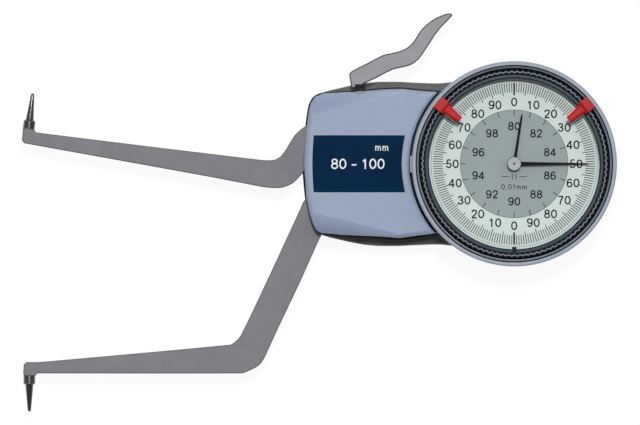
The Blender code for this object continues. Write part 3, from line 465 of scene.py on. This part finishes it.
def makeLug():
    s = lugShape
    profile = [(s["inner"], s["bottom"]), (s["outer"], s["bottom"]), (s["outer"], s["top"] - 0.3),
               (s["outer"] - 0.08, s["top"] - 0.1), (s["outer"] - 0.25, s["top"]),
               (s["inner"] + 0.05, s["top"]), (s["inner"], s["top"] - 0.05)]
    bm = bmesh.new()
    face = bm.faces.new([bm.verts.new(polar(radius * mm, s["from"] * degree, height * mm))
                         for radius, height in profile])
    bmesh.ops.spin(bm, geom=[face, *face.edges, *face.verts], cent=(0, 0, 0), axis=up, dvec=(0, 0, 0),
                   angle=s["turn"] * degree, steps=s["steps"], use_merge=False, use_duplicate=False)
    return addPiece("ringLug", bm, "ringEnamel", "front_case", stands=False)


# bezel: black plastic, its edge in fine scallops
bezelShape = {"outer": 29.7, "depth": 0.4, "scallops": 102, "inner": 28.7, "bottom": 24.1, "top": 31.6,
              "shelf": 29.9, "hem": 27.9, "skirt": 29.2, "skirtTop": 25.7, "crest": 29.1, "shoulder": 30.9,
              "stepsEach": 6}


def makeBezel():
    s = bezelShape
    profile = [(s["hem"], s["bottom"]), (s["skirt"], s["bottom"]), (s["skirt"], s["skirtTop"]),
               (s["outer"], s["skirtTop"] + 0.4), (s["outer"], s["shoulder"]),
               (s["crest"], s["top"] - 0.05), (s["crest"] - 0.05, s["top"]), (s["inner"] + 0.05, s["top"]),
               (s["inner"], s["top"] - 0.05), (s["inner"] - 0.2, s["shelf"] + 0.05),
               (s["hem"], s["shelf"] - 0.6)]
    bm = bmesh.new()
    spinProfile(bm, inMetres(profile), s["scallops"] * s["stepsEach"])
    for face in bm.faces:                            # painted highlight: the wavy crest is painted lighter
        face.material_index = face.calc_center_median().z > (s["top"] - 0.06) * mm
    for vert in bm.verts:
        radius = vert.co.xy.length
        if radius > (s["inner"] - 0.05) * mm and vert.co.z > (s["skirtTop"] + 0.2) * mm:
            turn = math.atan2(vert.co.y, vert.co.x)
            wave = (1 - abs(math.cos(turn * s["scallops"] / 2))) * s["depth"] * mm
            vert.co.xy *= (radius - wave) / radius
    return addPiece("bezelRing", bm, "blackPlastic", "bezel_ring", "crestHighlight", smooth=50)


# retainer: the stepped dark ring that holds the glass, with an index nose and a slit at the ring's ends
retainerShape = {"profile": [(26.75, 29.4), (28.35, 29.4), (28.35, 29.7), (28.3, 29.75), (27.95, 29.75),
                             (27.9, 29.5), (27.85, 29.5), (27.2, 29.88), (27.15, 29.88), (27.1, 29.7),
                             (26.8, 29.7), (26.75, 29.65)],
                 "slopeInner": 27.16, "slopeOuter": 27.84, "nose": (1.35, 1.5, 0.45),
                 "nosePlace": (0, -26.85, 29.66), "slit": (1.3, 0.22, 0.4), "slitTurn": -35,
                 "slitPlace": (27.6, 0.3, 29.69)}


def makeRetainer():
    s = retainerShape
    bm = bmesh.new()
    spinProfile(bm, inMetres(s["profile"]), ringSteps)
    for face in bm.faces:                            # painted shade: black on both sides of the teal slope
        radius = face.calc_center_median().xy.length
        face.material_index = not s["slopeInner"] * mm < radius < s["slopeOuter"] * mm
    index = addBox(bm, s["nose"], s["nosePlace"])
    slit = addBox(bm, s["slit"])
    turnRound(bm, slit, s["slitTurn"] * degree)
    bmesh.ops.translate(bm, verts=slit, vec=Vector(s["slitPlace"]) * mm)
    # the slit is painted black as painted shade; the index nose is black as a mark
    for face in bm.faces:
        if any(vert in face.verts for vert in index + slit):
            face.material_index = 1
    return addPiece("glassRetainer", bm, "tealPaint", "crystal_retainer", "shadeAndIndexBlack", smooth=25)


crystalShape = {"profile": [(0, 27.9), (27.45, 27.9), (27.65, 28.05), (27.65, 28.95), (27.45, 29.1),
                            (0, 29.1)],
                "steps": 120}


def makeCrystal():
    bm = bmesh.new()
    spinProfile(bm, inMetres(crystalShape["profile"]), crystalShape["steps"])
    return addPiece("crystalGlass", bm, "clearGlass", "crystal")


# dial: enamelled plate, grey inner disc, and print that stands a hair above it
dialShape = {"bore": 1.8, "edge": 27.75, "bottom": 24.2, "top": 24.7, "disc": 16.9, "print": 0.03,
             "level": 24.72, "discLevel": 24.74, "divisions": 200, "longEvery": 5, "zeroEvery": 100,
             "tickOuter": 25.4, "tickInner": 22.4, "longInner": 21.5, "tickWidth": 0.23, "zeroWidth": 0.52,
             "line": 26.05, "lineWidth": 0.08,
             "discTicks": 20, "discTickOuter": 16.85, "discTickInner": 15.15, "discTickWidth": 0.22,
             "discLineWidth": 0.1, "numbers": 19.4, "numberHeight": 2.76, "numberCount": 20,
             "innerNumbers": 11.8, "innerHeight": 2.6, "innerCount": 10, "innerStart": 80, "innerStep": 2,
             "unit": "0,01mm", "unitPlace": (0, -7.2), "unitHeight": 1.7, "unitStroke": 0.13, "steps": 180}
arrowShape = {"tip": 1.5, "tail": 4.0, "width": 0.18, "head": 0.6, "stretch": (1.2, 0.75, 1),
              "postInner": 0.46, "postOuter": 0.66, "postHeight": 1.8, "y": -4.0}


def printBar(bm, inner, outer, width, angle, height):
    bar = addBox(bm, (outer - inner, width, dialShape["print"]), ((outer + inner) / 2, 0, height))
    turnRound(bm, bar, angle)
    return bar


def ovalStroke(middle, wide, tall):
    turns = [k * math.pi / 6 for k in range(13)]
    return [(0.5 + wide * math.sin(turn), middle + tall * math.cos(turn)) for turn in turns]


# strokes of each sign, in shares of its height: a run of points is a smooth line, and a pair a straight one
bowl = ovalStroke(0.32, 0.27, 0.265)
signs = {
    "0": [ovalStroke(0.5, 0.28, 0.44)],
    "1": [[(0.3, 0.72), (0.42, 0.8), (0.53, 0.94)], [(0.53, 0.94), (0.53, 0.0)]],
    "2": [[(0.24, 0.68), (0.29, 0.86), (0.5, 0.94), (0.71, 0.86), (0.75, 0.68), (0.62, 0.46), (0.36, 0.22),
           (0.24, 0.06)], [(0.21, 0.06), (0.77, 0.06)]],
    "3": [[(0.25, 0.72), (0.33, 0.89), (0.5, 0.94), (0.68, 0.87), (0.72, 0.71), (0.62, 0.56), (0.44, 0.52)],
          [(0.44, 0.52), (0.64, 0.49), (0.77, 0.31), (0.7, 0.13), (0.5, 0.06), (0.31, 0.12), (0.22, 0.28)]],
    "4": [[(0.62, 0.0), (0.62, 0.93)], [(0.62, 0.93), (0.18, 0.28)], [(0.18, 0.28), (0.8, 0.28)]],
    "5": [[(0.73, 0.94), (0.34, 0.94)], [(0.34, 0.94), (0.27, 0.47)],
          [(0.27, 0.47), (0.42, 0.58), (0.64, 0.56), (0.77, 0.35), (0.7, 0.14), (0.5, 0.06), (0.31, 0.11),
           (0.22, 0.26)]],
    "6": [[(0.74, 0.76), (0.66, 0.9), (0.5, 0.94), (0.33, 0.85), (0.24, 0.6), (0.235, 0.34)], bowl],
    "7": [[(0.23, 0.93), (0.77, 0.93)], [(0.77, 0.93), (0.58, 0.62), (0.46, 0.3), (0.41, 0.0)]],
    "8": [ovalStroke(0.735, 0.23, 0.205), ovalStroke(0.295, 0.275, 0.235)],
    "9": [[(0.26, 0.24), (0.34, 0.1), (0.5, 0.06), (0.67, 0.15), (0.76, 0.4), (0.765, 0.66)],
          [(1 - x, 1 - y) for x, y in bowl]],
    "-": [[(0.28, 0.4), (0.72, 0.4)]],
    ",": [[(0.5, 0.06), (0.42, -0.16)]],
    "m": [[(0.18, 0.0), (0.18, 0.7)], [(0.18, 0.45), (0.3, 0.64), (0.45, 0.64), (0.52, 0.45)],
          [(0.52, 0.45), (0.52, 0.0)], [(0.52, 0.45), (0.64, 0.64), (0.79, 0.64), (0.86, 0.45)],
          [(0.86, 0.45), (0.86, 0.0)]],
    " ": [],
}
lettering = {"stroke": 0.155, "advance": 0.78, "widthOf": {"m": 1.04},
             "advanceOf": {"-": 0.75, ",": 0.5, "m": 1.04, " ": 0.3, "1": 0.72}}


def printText(bm, words, x, y, height, size, stroke=lettering["stroke"]):
    curve = bpy.data.curves.new("lettering", "CURVE")
    curve.dimensions = "3D"
    curve.bevel_depth = stroke / 2
    curve.bevel_resolution = 0
    curve.use_fill_caps = True
    rooms = [lettering["advanceOf"].get(sign, lettering["advance"]) for sign in words]
    left = -sum(rooms) / 2
    for sign, room in zip(words, rooms):
        shift = left + (room - lettering["widthOf"].get(sign, 1.0)) / 2
        for run in signs[sign]:
            spline = curve.splines.new("NURBS" if len(run) > 2 else "POLY")
            spline.points.add(len(run) - 1)
            for point, (across, rise) in zip(spline.points, run):
                point.co = (across + shift, rise - 0.5, 0, 1)
            if len(run) > 2:
                spline.use_endpoint_u = True
                spline.order_u = 3
                spline.resolution_u = 3
        left += room
    letters = bpy.data.objects.new("lettering", curve)
    bpy.context.scene.collection.objects.link(letters)
    bpy.context.view_layer.update()
    mesh = bpy.data.meshes.new_from_object(letters.evaluated_get(bpy.context.evaluated_depsgraph_get()))
    flatten = Matrix.Diagonal((size * mm, size * mm, dialShape["print"] / stroke * mm, 1))
    mesh.transform(Matrix.Translation((x * mm, y * mm, height * mm)) @ flatten)
    bm.from_mesh(mesh)
    bpy.data.objects.remove(letters)
    bpy.data.curves.remove(curve)
    bpy.data.meshes.remove(mesh)


def spinBand(bm, inner, outer, low, high):
    profile = [(inner, low), (outer, low), (outer, high), (inner, high)]
    spinProfile(bm, inMetres(profile), dialShape["steps"])


def printRing(bm, radius, width, height):
    thick = dialShape["print"] / 2
    spinBand(bm, radius - width / 2, radius + width / 2, height - thick, height + thick)


def makeDialPlate():
    s = dialShape
    profile = [(s["bore"], s["bottom"]), (s["edge"], s["bottom"]), (s["edge"], s["top"] - 0.05),
               (s["edge"] - 0.05, s["top"]), (s["bore"], s["top"])]
    bm = bmesh.new()
    spinProfile(bm, inMetres(profile), s["steps"])
    addPiece("dialPlate", bm, "dialEnamel", "dial_face")
    bm = bmesh.new()
    spinBand(bm, s["bore"], s["disc"], s["top"] - 0.01, s["level"])
    return addPiece("dialDisc", bm, "dialGrey", "dial_face", stands=False)


def printArrow(bm, turn):                            # one of the two arrows that show a division
    s = arrowShape
    level = dialShape["discLevel"]
    line = printBar(bm, s["tip"], s["tail"], s["width"], 0, level)
    head = bmesh.ops.create_cone(bm, segments=3, radius1=s["head"] * mm, radius2=s["head"] * mm,
                                 depth=dialShape["print"] * mm)["verts"]
    turnRound(bm, head, math.pi / 2)
    bmesh.ops.scale(bm, verts=head, vec=s["stretch"])
    bmesh.ops.translate(bm, verts=head, vec=Vector((s["tip"], 0, level)) * mm)
    post = printBar(bm, s["postInner"], s["postOuter"], s["postHeight"], 0, level)
    arrow = line + head + post
    turnRound(bm, arrow, turn)
    bmesh.ops.translate(bm, verts=arrow, vec=(0, s["y"] * mm, 0))


def makeDialPrint():
    s = dialShape
    bm = bmesh.new()

    def clockwise(index, count):                     # angle of a mark, counted from twelve o'clock
        return math.pi / 2 - index * 2 * math.pi / count

    for index in range(s["divisions"]):
        inner = s["tickInner"] if index % s["longEvery"] else s["longInner"]
        width = s["tickWidth"] if index % s["zeroEvery"] else s["zeroWidth"]
        printBar(bm, inner, s["tickOuter"], width, clockwise(index, s["divisions"]), s["level"])
    for index in range(s["discTicks"]):
        printBar(bm, s["discTickInner"], s["discTickOuter"], s["discTickWidth"],
                 clockwise(index, s["discTicks"]), s["discLevel"])
    printRing(bm, s["line"], s["lineWidth"], s["level"])
    printRing(bm, s["disc"], s["discLineWidth"], s["discLevel"])
    for index in range(s["numberCount"]):
        spot = polar(s["numbers"], clockwise(index, s["numberCount"]))
        printText(bm, str(index % 10 * 10), spot.x, spot.y, s["level"], s["numberHeight"])
    for index in range(s["innerCount"]):
        spot = polar(s["innerNumbers"], clockwise(index, s["innerCount"]))
        words = str(s["innerStart"] + s["innerStep"] * index)
        printText(bm, words, spot.x, spot.y, s["discLevel"], s["innerHeight"])
    printText(bm, s["unit"], *s["unitPlace"], s["discLevel"], s["unitHeight"], s["unitStroke"])
    printArrow(bm, math.pi)
    printArrow(bm, 0)
    return addPiece("dialPrint", bm, "blackInk", "dial_face", stands=False)


# hands: a blade that tapers to its point, on a round boss
handShape = {"start": 1.2, "point": 1.5, "rounding": 0.06, "bore": 0.7, "boss": 2.19, "bevel": 0.09,
             "steps": 64}
handPlaces = {
    "large_hand": {"name": "largePointer", "length": 24.1, "root": 1.3, "tip": 0.42, "angle": 0,
                   "bottom": 26.5, "top": 26.8},
    "small_hand": {"name": "smallPointer", "length": 16.3, "root": 1.0, "tip": 0.6, "angle": 81,
                   "bottom": 25.6, "top": 25.9},
}


def makeHand(node):
    s = handShape | handPlaces[node]
    taper = s["length"] - s["point"]
    outline = [(s["start"], -s["root"] / 2), (taper, -s["tip"] / 2), (s["length"], 0), (taper, s["tip"] / 2),
               (s["start"], s["root"] / 2)]
    boss = [(s["bore"], s["bottom"]), (s["boss"] - s["bevel"], s["bottom"]), (s["boss"], s["bottom"] + 0.08),
            (s["boss"], s["top"] - 0.08), (s["boss"] - s["bevel"], s["top"]), (s["bore"], s["top"])]
    bm = bmesh.new()
    raisePlate(bm, [Vector(point) * mm for point in outline], s["bottom"] * mm, s["top"] * mm)
    roundEdges(bm, rim(bm, s["top"] * mm), s["rounding"] * mm, 2)
    turnRound(bm, bm.verts, s["angle"] * degree)
    spinProfile(bm, inMetres(boss), s["steps"])
    return addPiece(s["name"], bm, "handLacquer", node)


hubShape = {"profile": [(0, 27.1), (2.0, 27.1), (2.2, 27.2), (2.2, 27.4), (2.08, 27.56), (1.95, 27.6),
                        (0.34, 27.6), (0.3, 27.5), (0, 27.5)],
            "brightInner": 0.33, "brightOuter": 2.03, "steps": 72}


def makeHub():
    s = hubShape
    bm = bmesh.new()
    spinProfile(bm, inMetres(s["profile"]), s["steps"])
    for face in bm.faces:                            # dark rim and centre
        radius = face.calc_center_median().xy.length
        face.material_index = not s["brightInner"] * mm <= radius <= s["brightOuter"] * mm
    return addPiece("handHub", bm, "hubSteel", "hand_cap", "handLacquer")


# tolerance markers: a rounded block over the groove and a ridged pointer over the dial
markerShape = {"outer": 30.9, "inner": 27.2, "width": 4.2, "bottom": 31.85, "top": 33.2, "slope": 1.0,
               "rounding": 0.22, "foot": 30.8, "footAt": 30.5, "footSize": (0.5, 3.0), "tip": 21.8,
               "root": 3.2, "end": 2.1, "pointerBottom": 32.0, "pointerTop": 32.75, "ridge": 0.45,
               "pointerRound": 0.12}
markerPlaces = {
    "tolerance_marker_left": {"name": "leftMarker", "angle": 141},
    "tolerance_marker_right": {"name": "rightMarker", "angle": 39},
}


def makeMarker(node):
    s = markerShape
    bm = bmesh.new()
    addBox(bm, (s["outer"] - s["inner"], s["width"], s["top"] - s["bottom"]),
           ((s["outer"] + s["inner"]) / 2, 0, (s["top"] + s["bottom"]) / 2))
    near = 0.01 * mm
    top = s["top"] * mm - near
    inner = [edge for edge in bm.edges if all(abs(vert.co.x - s["inner"] * mm) < near for vert in edge.verts)
             and all(vert.co.z > top for vert in edge.verts)]
    roundEdges(bm, inner, s["slope"] * mm, 1)        # slope on the side of the pointer
    upper = [edge for edge in bm.edges if any(vert.co.z > top for vert in edge.verts)]
    roundEdges(bm, upper, s["rounding"] * mm, 3)
    footTop = s["bottom"] + 0.2
    addBox(bm, (*s["footSize"], footTop - s["foot"]), (s["footAt"], 0, (footTop + s["foot"]) / 2))
    root = s["inner"] + 0.3
    outline = [(s["tip"], -s["end"] / 2), (root, -s["root"] / 2), (root, s["root"] / 2),
               (s["tip"], s["end"] / 2)]
    raised = raisePlate(bm, [Vector(point) * mm for point in outline], s["pointerBottom"] * mm,
                        s["pointerTop"] * mm)
    for vert in raised:                              # sides lean in to a flat ridge
        vert.co.y *= s["ridge"]
    roundEdges(bm, rim(bm, s["pointerTop"] * mm), s["pointerRound"] * mm, 2)
    turnRound(bm, bm.verts, markerPlaces[node]["angle"] * degree)
    return addPiece(markerPlaces[node]["name"], bm, "redPlastic", node)


# arms and lever: flat steel with a fine chamfer along the edge, painted darker as painted shade
armShape = {"finish": "armSteel", "edge": "armEdgeShade", "bottom": 13.3 * mm, "top": 17.3 * mm,
            "chamfer": 0.3 * mm}
leverShape = {"finish": "leverSteel", "edge": "leverEdgeShade", "bottom": 17.6 * mm, "top": 20.6 * mm,
              "chamfer": 0.36 * mm}
bladeShape = {"cuts": 4, "segments": 3, "apart": 0.15 * mm}
pinShape = {"radius": 0.6 * mm, "bevel": 0.1 * mm, "sunk": 0.5 * mm, "steps": 32}


def makeArm(name, node, s):
    bottom, top, apart = s["bottom"], s["top"], bladeShape["apart"]
    bm = bmesh.new()
    loop = longestLoop(node, top)
    outline = [point for before, point in zip(loop[-1:] + loop, loop) if (point - before).length > apart]
    raisePlate(bm, softened(outline, bladeShape["cuts"], clear=2 * s["chamfer"]), bottom, top)
    for height in (top, bottom):
        roundEdges(bm, rim(bm, height), s["chamfer"], bladeShape["segments"])
    for hole in levelLoops(node, top)[1:]:
        drill = bmesh.new()
        raisePlate(drill, hole, bottom - mm, top + mm)
        bm = shapedTogether(bm, drill, "DIFFERENCE")
    if node == "finger_lever":
        bm = shapedTogether(bm, leverPin(node, bottom), "UNION")
    for face in bm.faces:                            # painted shade: the top chamfer is painted darker
        middle = face.calc_center_median().z
        face.material_index = abs(face.normal.z) < 0.999 and top - s["chamfer"] < middle < top
    return addPiece(name, bm, s["finish"], node, s["edge"])


def leverPin(node, bottom):                          # the pin that the arm's fork drives
    s = pinShape
    low = lowest(node).z
    ends = [vert.co for vert in cadNodes[node].data.vertices if vert.co.z < low + 0.001 * mm]
    middle = sum((end.xy for end in ends), Vector((0, 0))) / len(ends)
    pin = bmesh.new()
    spinProfile(pin, [(0, low), (s["radius"] - s["bevel"], low), (s["radius"], low + s["bevel"]),
                      (s["radius"], bottom + s["sunk"]), (0, bottom + s["sunk"])], s["steps"], tuple(middle))
    return pin


# rubber sleeve on the lever's stem, and the small guide below it, as the corners of their blocks
sleeveShape = {"low": (-49.8, 23.65, 17.2), "high": (-46.8, 25.0, 20.95), "rounding": 0.25}
foldShape = {"count": 3, "step": 0.42, "low": (-49.95, 23.75, 17.05), "high": (-46.65, 24.03, 21.1),
             "rounding": 0.12}
guideShape = {"low": (-49.5, 21.9, 22.2), "high": (-47.1, 22.8, 24.75), "rounding": 0.15}


def addBlock(bm, s, shift=0.0):
    low, high = Vector(s["low"]), Vector(s["high"])
    block = addBox(bm, high - low, (low + high) / 2 + Vector((0, shift, 0)))
    roundEdges(bm, list({edge for vert in block for edge in vert.link_edges}), s["rounding"] * mm, 2)


def makeSleeve():
    bm = bmesh.new()
    addBlock(bm, sleeveShape)
    for number in range(foldShape["count"]):
        addBlock(bm, foldShape, number * foldShape["step"])
    addPiece("stemSleeve", bm, "sealRubber", "finger_lever", stands=False)
    bm = bmesh.new()
    addBlock(bm, guideShape)
    addPiece("stemGuide", bm, "leverSteel", "front_case", stands=False)


# contact tips: a collar on the arm's end and a tapered needle; the foot is where the collar starts
tipShape = {"profile": [(0.0, -1.1), (1.75, -1.1), (1.85, -1.0), (1.85, 2.0), (1.55, 2.3), (1.3, 2.35),
                        (1.22, 2.6), (0.56, 10.0), (0.5, 10.4), (0.3, 10.75), (0.0, 10.9)],
            "height": 15.3, "out": 0.3, "steps": 48}
tipPlaces = {
    "contact_tip_upper": {"name": "upperTip", "foot": (-152.3, 11.1), "lean": -6.6},
    "contact_tip_lower": {"name": "lowerTip", "foot": (-152.1, -66.6), "lean": 180},
}


def makeTip(node):
    s = tipShape | tipPlaces[node]
    aim = Matrix.Rotation(s["lean"] * degree, 3, "Z") @ Vector((0, 1, 0))
    bm = bmesh.new()
    spinProfile(bm, inMetres(s["profile"]), s["steps"])
    bmesh.ops.rotate(bm, verts=bm.verts, cent=(0, 0, 0), matrix=up.rotation_difference(aim).to_matrix())
    start = Vector((*s["foot"], s["height"])) * mm + aim * s["out"] * mm
    bmesh.ops.translate(bm, verts=bm.verts, vec=start)
    return addPiece(s["name"], bm, "tipSteel", node)


# screws in the back of the case: a domed head with a six-sided socket
screwShape = {"head": 1.2 * mm, "shank": 1.0 * mm, "dome": 0.35 * mm, "crown": 0.5 * mm,
              "shoulder": 0.18 * mm, "shoulderDepth": 0.1 * mm, "socket": 0.95 * mm, "socketDepth": 0.85 * mm,
              "socketPoint": 0.3 * mm, "steps": 48}


def makeCaseScrew(number):
    s = screwShape
    node = f"case_screw_{number}"
    low, high = lowest(node), highest(node)
    middle = ((low.x + high.x) / 2, (low.y + high.y) / 2)
    wide = (high.x - low.x) / 2
    head = low.z + s["head"]
    floor = low.z + s["socketDepth"]
    bm = bmesh.new()
    spinProfile(bm, [(0, low.z), (wide - s["crown"], low.z),
                     (wide - s["shoulder"], low.z + s["shoulderDepth"]), (wide, low.z + s["dome"]),
                     (wide, head), (s["shank"], head), (s["shank"], high.z), (0, high.z)], s["steps"], middle)
    socket = bmesh.new()
    spinProfile(socket, [(0, low.z - mm), (s["socket"], low.z - mm), (s["socket"], floor),
                         (0, floor + s["socketPoint"])], 6, middle)
    bm = shapedTogether(bm, socket, "DIFFERENCE")
    return addPiece(f"backScrew{number}", bm, "screwSteel", node)


# label plate with plain numbers for the range
labelShape = {"spare": 0.22, "rounding": 0.08, "numbers": "80 - 100", "numbersPlace": (-49.0, 0.0),
              "numbersHeight": 3.3, "numbersStroke": 0.14, "unit": "mm", "unitPlace": (-41.5, 5.2),
              "unitHeight": 2.2, "unitStroke": 0.13}


def makeLabel():
    s = labelShape
    bottom, top = lowest("label_plate"), highest("label_plate")
    middle = (bottom + top) / 2
    bm = bmesh.new()
    raisePlate(bm, softened(longestLoop("label_plate", top.z), caseShape["cuts"]), bottom.z, top.z)
    roundEdges(bm, rim(bm, top.z), s["rounding"] * mm, 2)
    for vert in bm.verts:                            # fills its pocket in the case
        for axis in (0, 1):
            vert.co[axis] += math.copysign(s["spare"] * mm, vert.co[axis] - middle[axis])
    addPiece("rangePlate", bm, "navyPlate", "label_plate")
    bm = bmesh.new()
    for words in ("numbers", "unit"):
        printText(bm, s[words], *s[words + "Place"], top.z / mm, s[words + "Height"], s[words + "Stroke"])
    return addPiece("rangeNumbers", bm, "whiteInk", "label_plate", stands=False)


# stage: a plain white floor, a soft lamp, a bright sky and the camera
stage = {"key": 0.56, "keyFrom": (0.03, 0.21, 1.0), "softness": 6, "fill": 0.34, "slant": 0.9, "lens": 1100,
         "sensor": 36, "above": 20 * mm, "near": 0.1, "far": 40, "floor": 3, "drop": 0.01 * mm, "paper": 250,
         "paperRough": 0.9, "paperGlow": 1.03, "shadow": 0.9}


def backdropFinish():
    material = bpy.data.materials.new("whitePaper")
    material.use_nodes = True
    tree = material.node_tree
    shader = tree.nodes["Principled BSDF"]
    shader.inputs["Base Color"].default_value = screenColour(*[stage["paper"]] * 3)
    shader.inputs["Roughness"].default_value = stage["paperRough"]
    path = tree.nodes.new("ShaderNodeLightPath")
    white = tree.nodes.new("ShaderNodeEmission")
    white.inputs["Strength"].default_value = stage["paperGlow"]

    def combine(operation, first, second):
        step = tree.nodes.new("ShaderNodeMath")
        step.operation = operation
        tree.links.new(first, step.inputs[0])
        if isinstance(second, float):
            step.inputs[1].default_value = second
        else:
            tree.links.new(second, step.inputs[1])
        return step.outputs["Value"]

    def blend(share, first, second):
        mixed = tree.nodes.new("ShaderNodeMixShader")
        tree.links.new(share, mixed.inputs["Fac"])
        tree.links.new(first, mixed.inputs[1])
        tree.links.new(second, mixed.inputs[2])
        return mixed.outputs["Shader"]

    seen = combine("MULTIPLY", path.outputs["Is Camera Ray"], stage["shadow"])    # lets a faint shadow show
    mirrored = combine("MAXIMUM", path.outputs["Is Glossy Ray"], path.outputs["Is Transmission Ray"])
    paper = blend(combine("MAXIMUM", seen, mirrored), shader.outputs["BSDF"], white.outputs["Emission"])
    below = tree.nodes.new("ShaderNodeNewGeometry")  # clear from below, for a look at the back
    clear = tree.nodes.new("ShaderNodeBsdfTransparent")
    sided = blend(below.outputs["Backfacing"], paper, clear.outputs["BSDF"])
    tree.links.new(sided, tree.nodes["Material Output"].inputs["Surface"])
    return material


def addStage():
    bm = bmesh.new()
    bmesh.ops.create_grid(bm, x_segments=1, y_segments=1, size=stage["floor"])
    mesh = bpy.data.meshes.new("floor")
    bm.to_mesh(mesh)
    bm.free()
    mesh.transform(Matrix.Translation((0, 0, -stage["drop"])))
    mesh.materials.append(backdropFinish())
    floor = bpy.data.objects.new("floor", mesh)
    bpy.context.scene.collection.objects.link(floor)
    key = bpy.data.lights.new("keyLamp", "SUN")
    key.energy = stage["key"] * math.pi
    key.angle = stage["softness"] * degree
    lamp = bpy.data.objects.new("keyLamp", key)
    lamp.rotation_euler = (-Vector(stage["keyFrom"])).to_track_quat("-Z", "Y").to_euler()
    bpy.context.scene.collection.objects.link(lamp)
    world = bpy.data.worlds.new("studio")
    world.use_nodes = True
    sky = world.node_tree.nodes["Background"]
    sky.inputs["Color"].default_value = (1, 1, 1, 1)
    links = world.node_tree.links                    # a sky that is brighter from above the picture
    place = world.node_tree.nodes.new("ShaderNodeTexCoord")
    parts = world.node_tree.nodes.new("ShaderNodeSeparateXYZ")
    slant = world.node_tree.nodes.new("ShaderNodeMath")
    slant.operation = "MULTIPLY_ADD"
    slant.inputs[1].default_value = stage["fill"] * stage["slant"]
    slant.inputs[2].default_value = stage["fill"]
    links.new(place.outputs["Generated"], parts.inputs["Vector"])
    links.new(parts.outputs["Y"], slant.inputs[0])
    links.new(slant.outputs["Value"], sky.inputs["Strength"])
    bpy.context.scene.world = world


def addCamera():
    centre = fromPicture(picture["width"] / 2, picture["height"] / 2)
    wide = picture["width"] * picture["pixel"]
    lens = bpy.data.cameras.new("camera")
    lens.lens = stage["lens"]
    lens.sensor_width = stage["sensor"]
    lens.clip_start = stage["near"]
    lens.clip_end = stage["far"]
    camera = bpy.data.objects.new("camera", lens)
    camera.location = centre + up * (wide * stage["lens"] / stage["sensor"] + stage["above"])
    bpy.context.scene.collection.objects.link(camera)
    bpy.context.scene.camera = camera
    bpy.context.scene.view_settings.view_transform = "Standard"


# every piece, from the case to the tips
makeCaseHalf("frontShell", "front_case", highest("front_case").z, lowest("front_case").z,
             caseShape["frontRound"], caseShape["frontSeam"])
makeCaseHalf("rearShell", "rear_case", lowest("rear_case").z, highest("rear_case").z,
             caseShape["backRound"], caseShape["backSeam"])
makeGapShade()
makeLabel()
for number in range(1, 5):
    makeCaseScrew(number)
print("case made")
makeDialRing()
makeLug()
makeBezel()
makeRetainer()
makeCrystal()
makeDialPlate()
makeDialPrint()
makeHand("large_hand")
makeHand("small_hand")
makeHub()
makeMarker("tolerance_marker_left")
makeMarker("tolerance_marker_right")
print("dial made")
makeArm("movingArm", "moving_arm", armShape)
makeArm("fixedArm", "fixed_arm", armShape)
makeArm("fingerLever", "finger_lever", leverShape)
makeSleeve()
makeTip("contact_tip_upper")
makeTip("contact_tip_lower")
print("arms made")
addStage()
addCamera()
print("stage made")
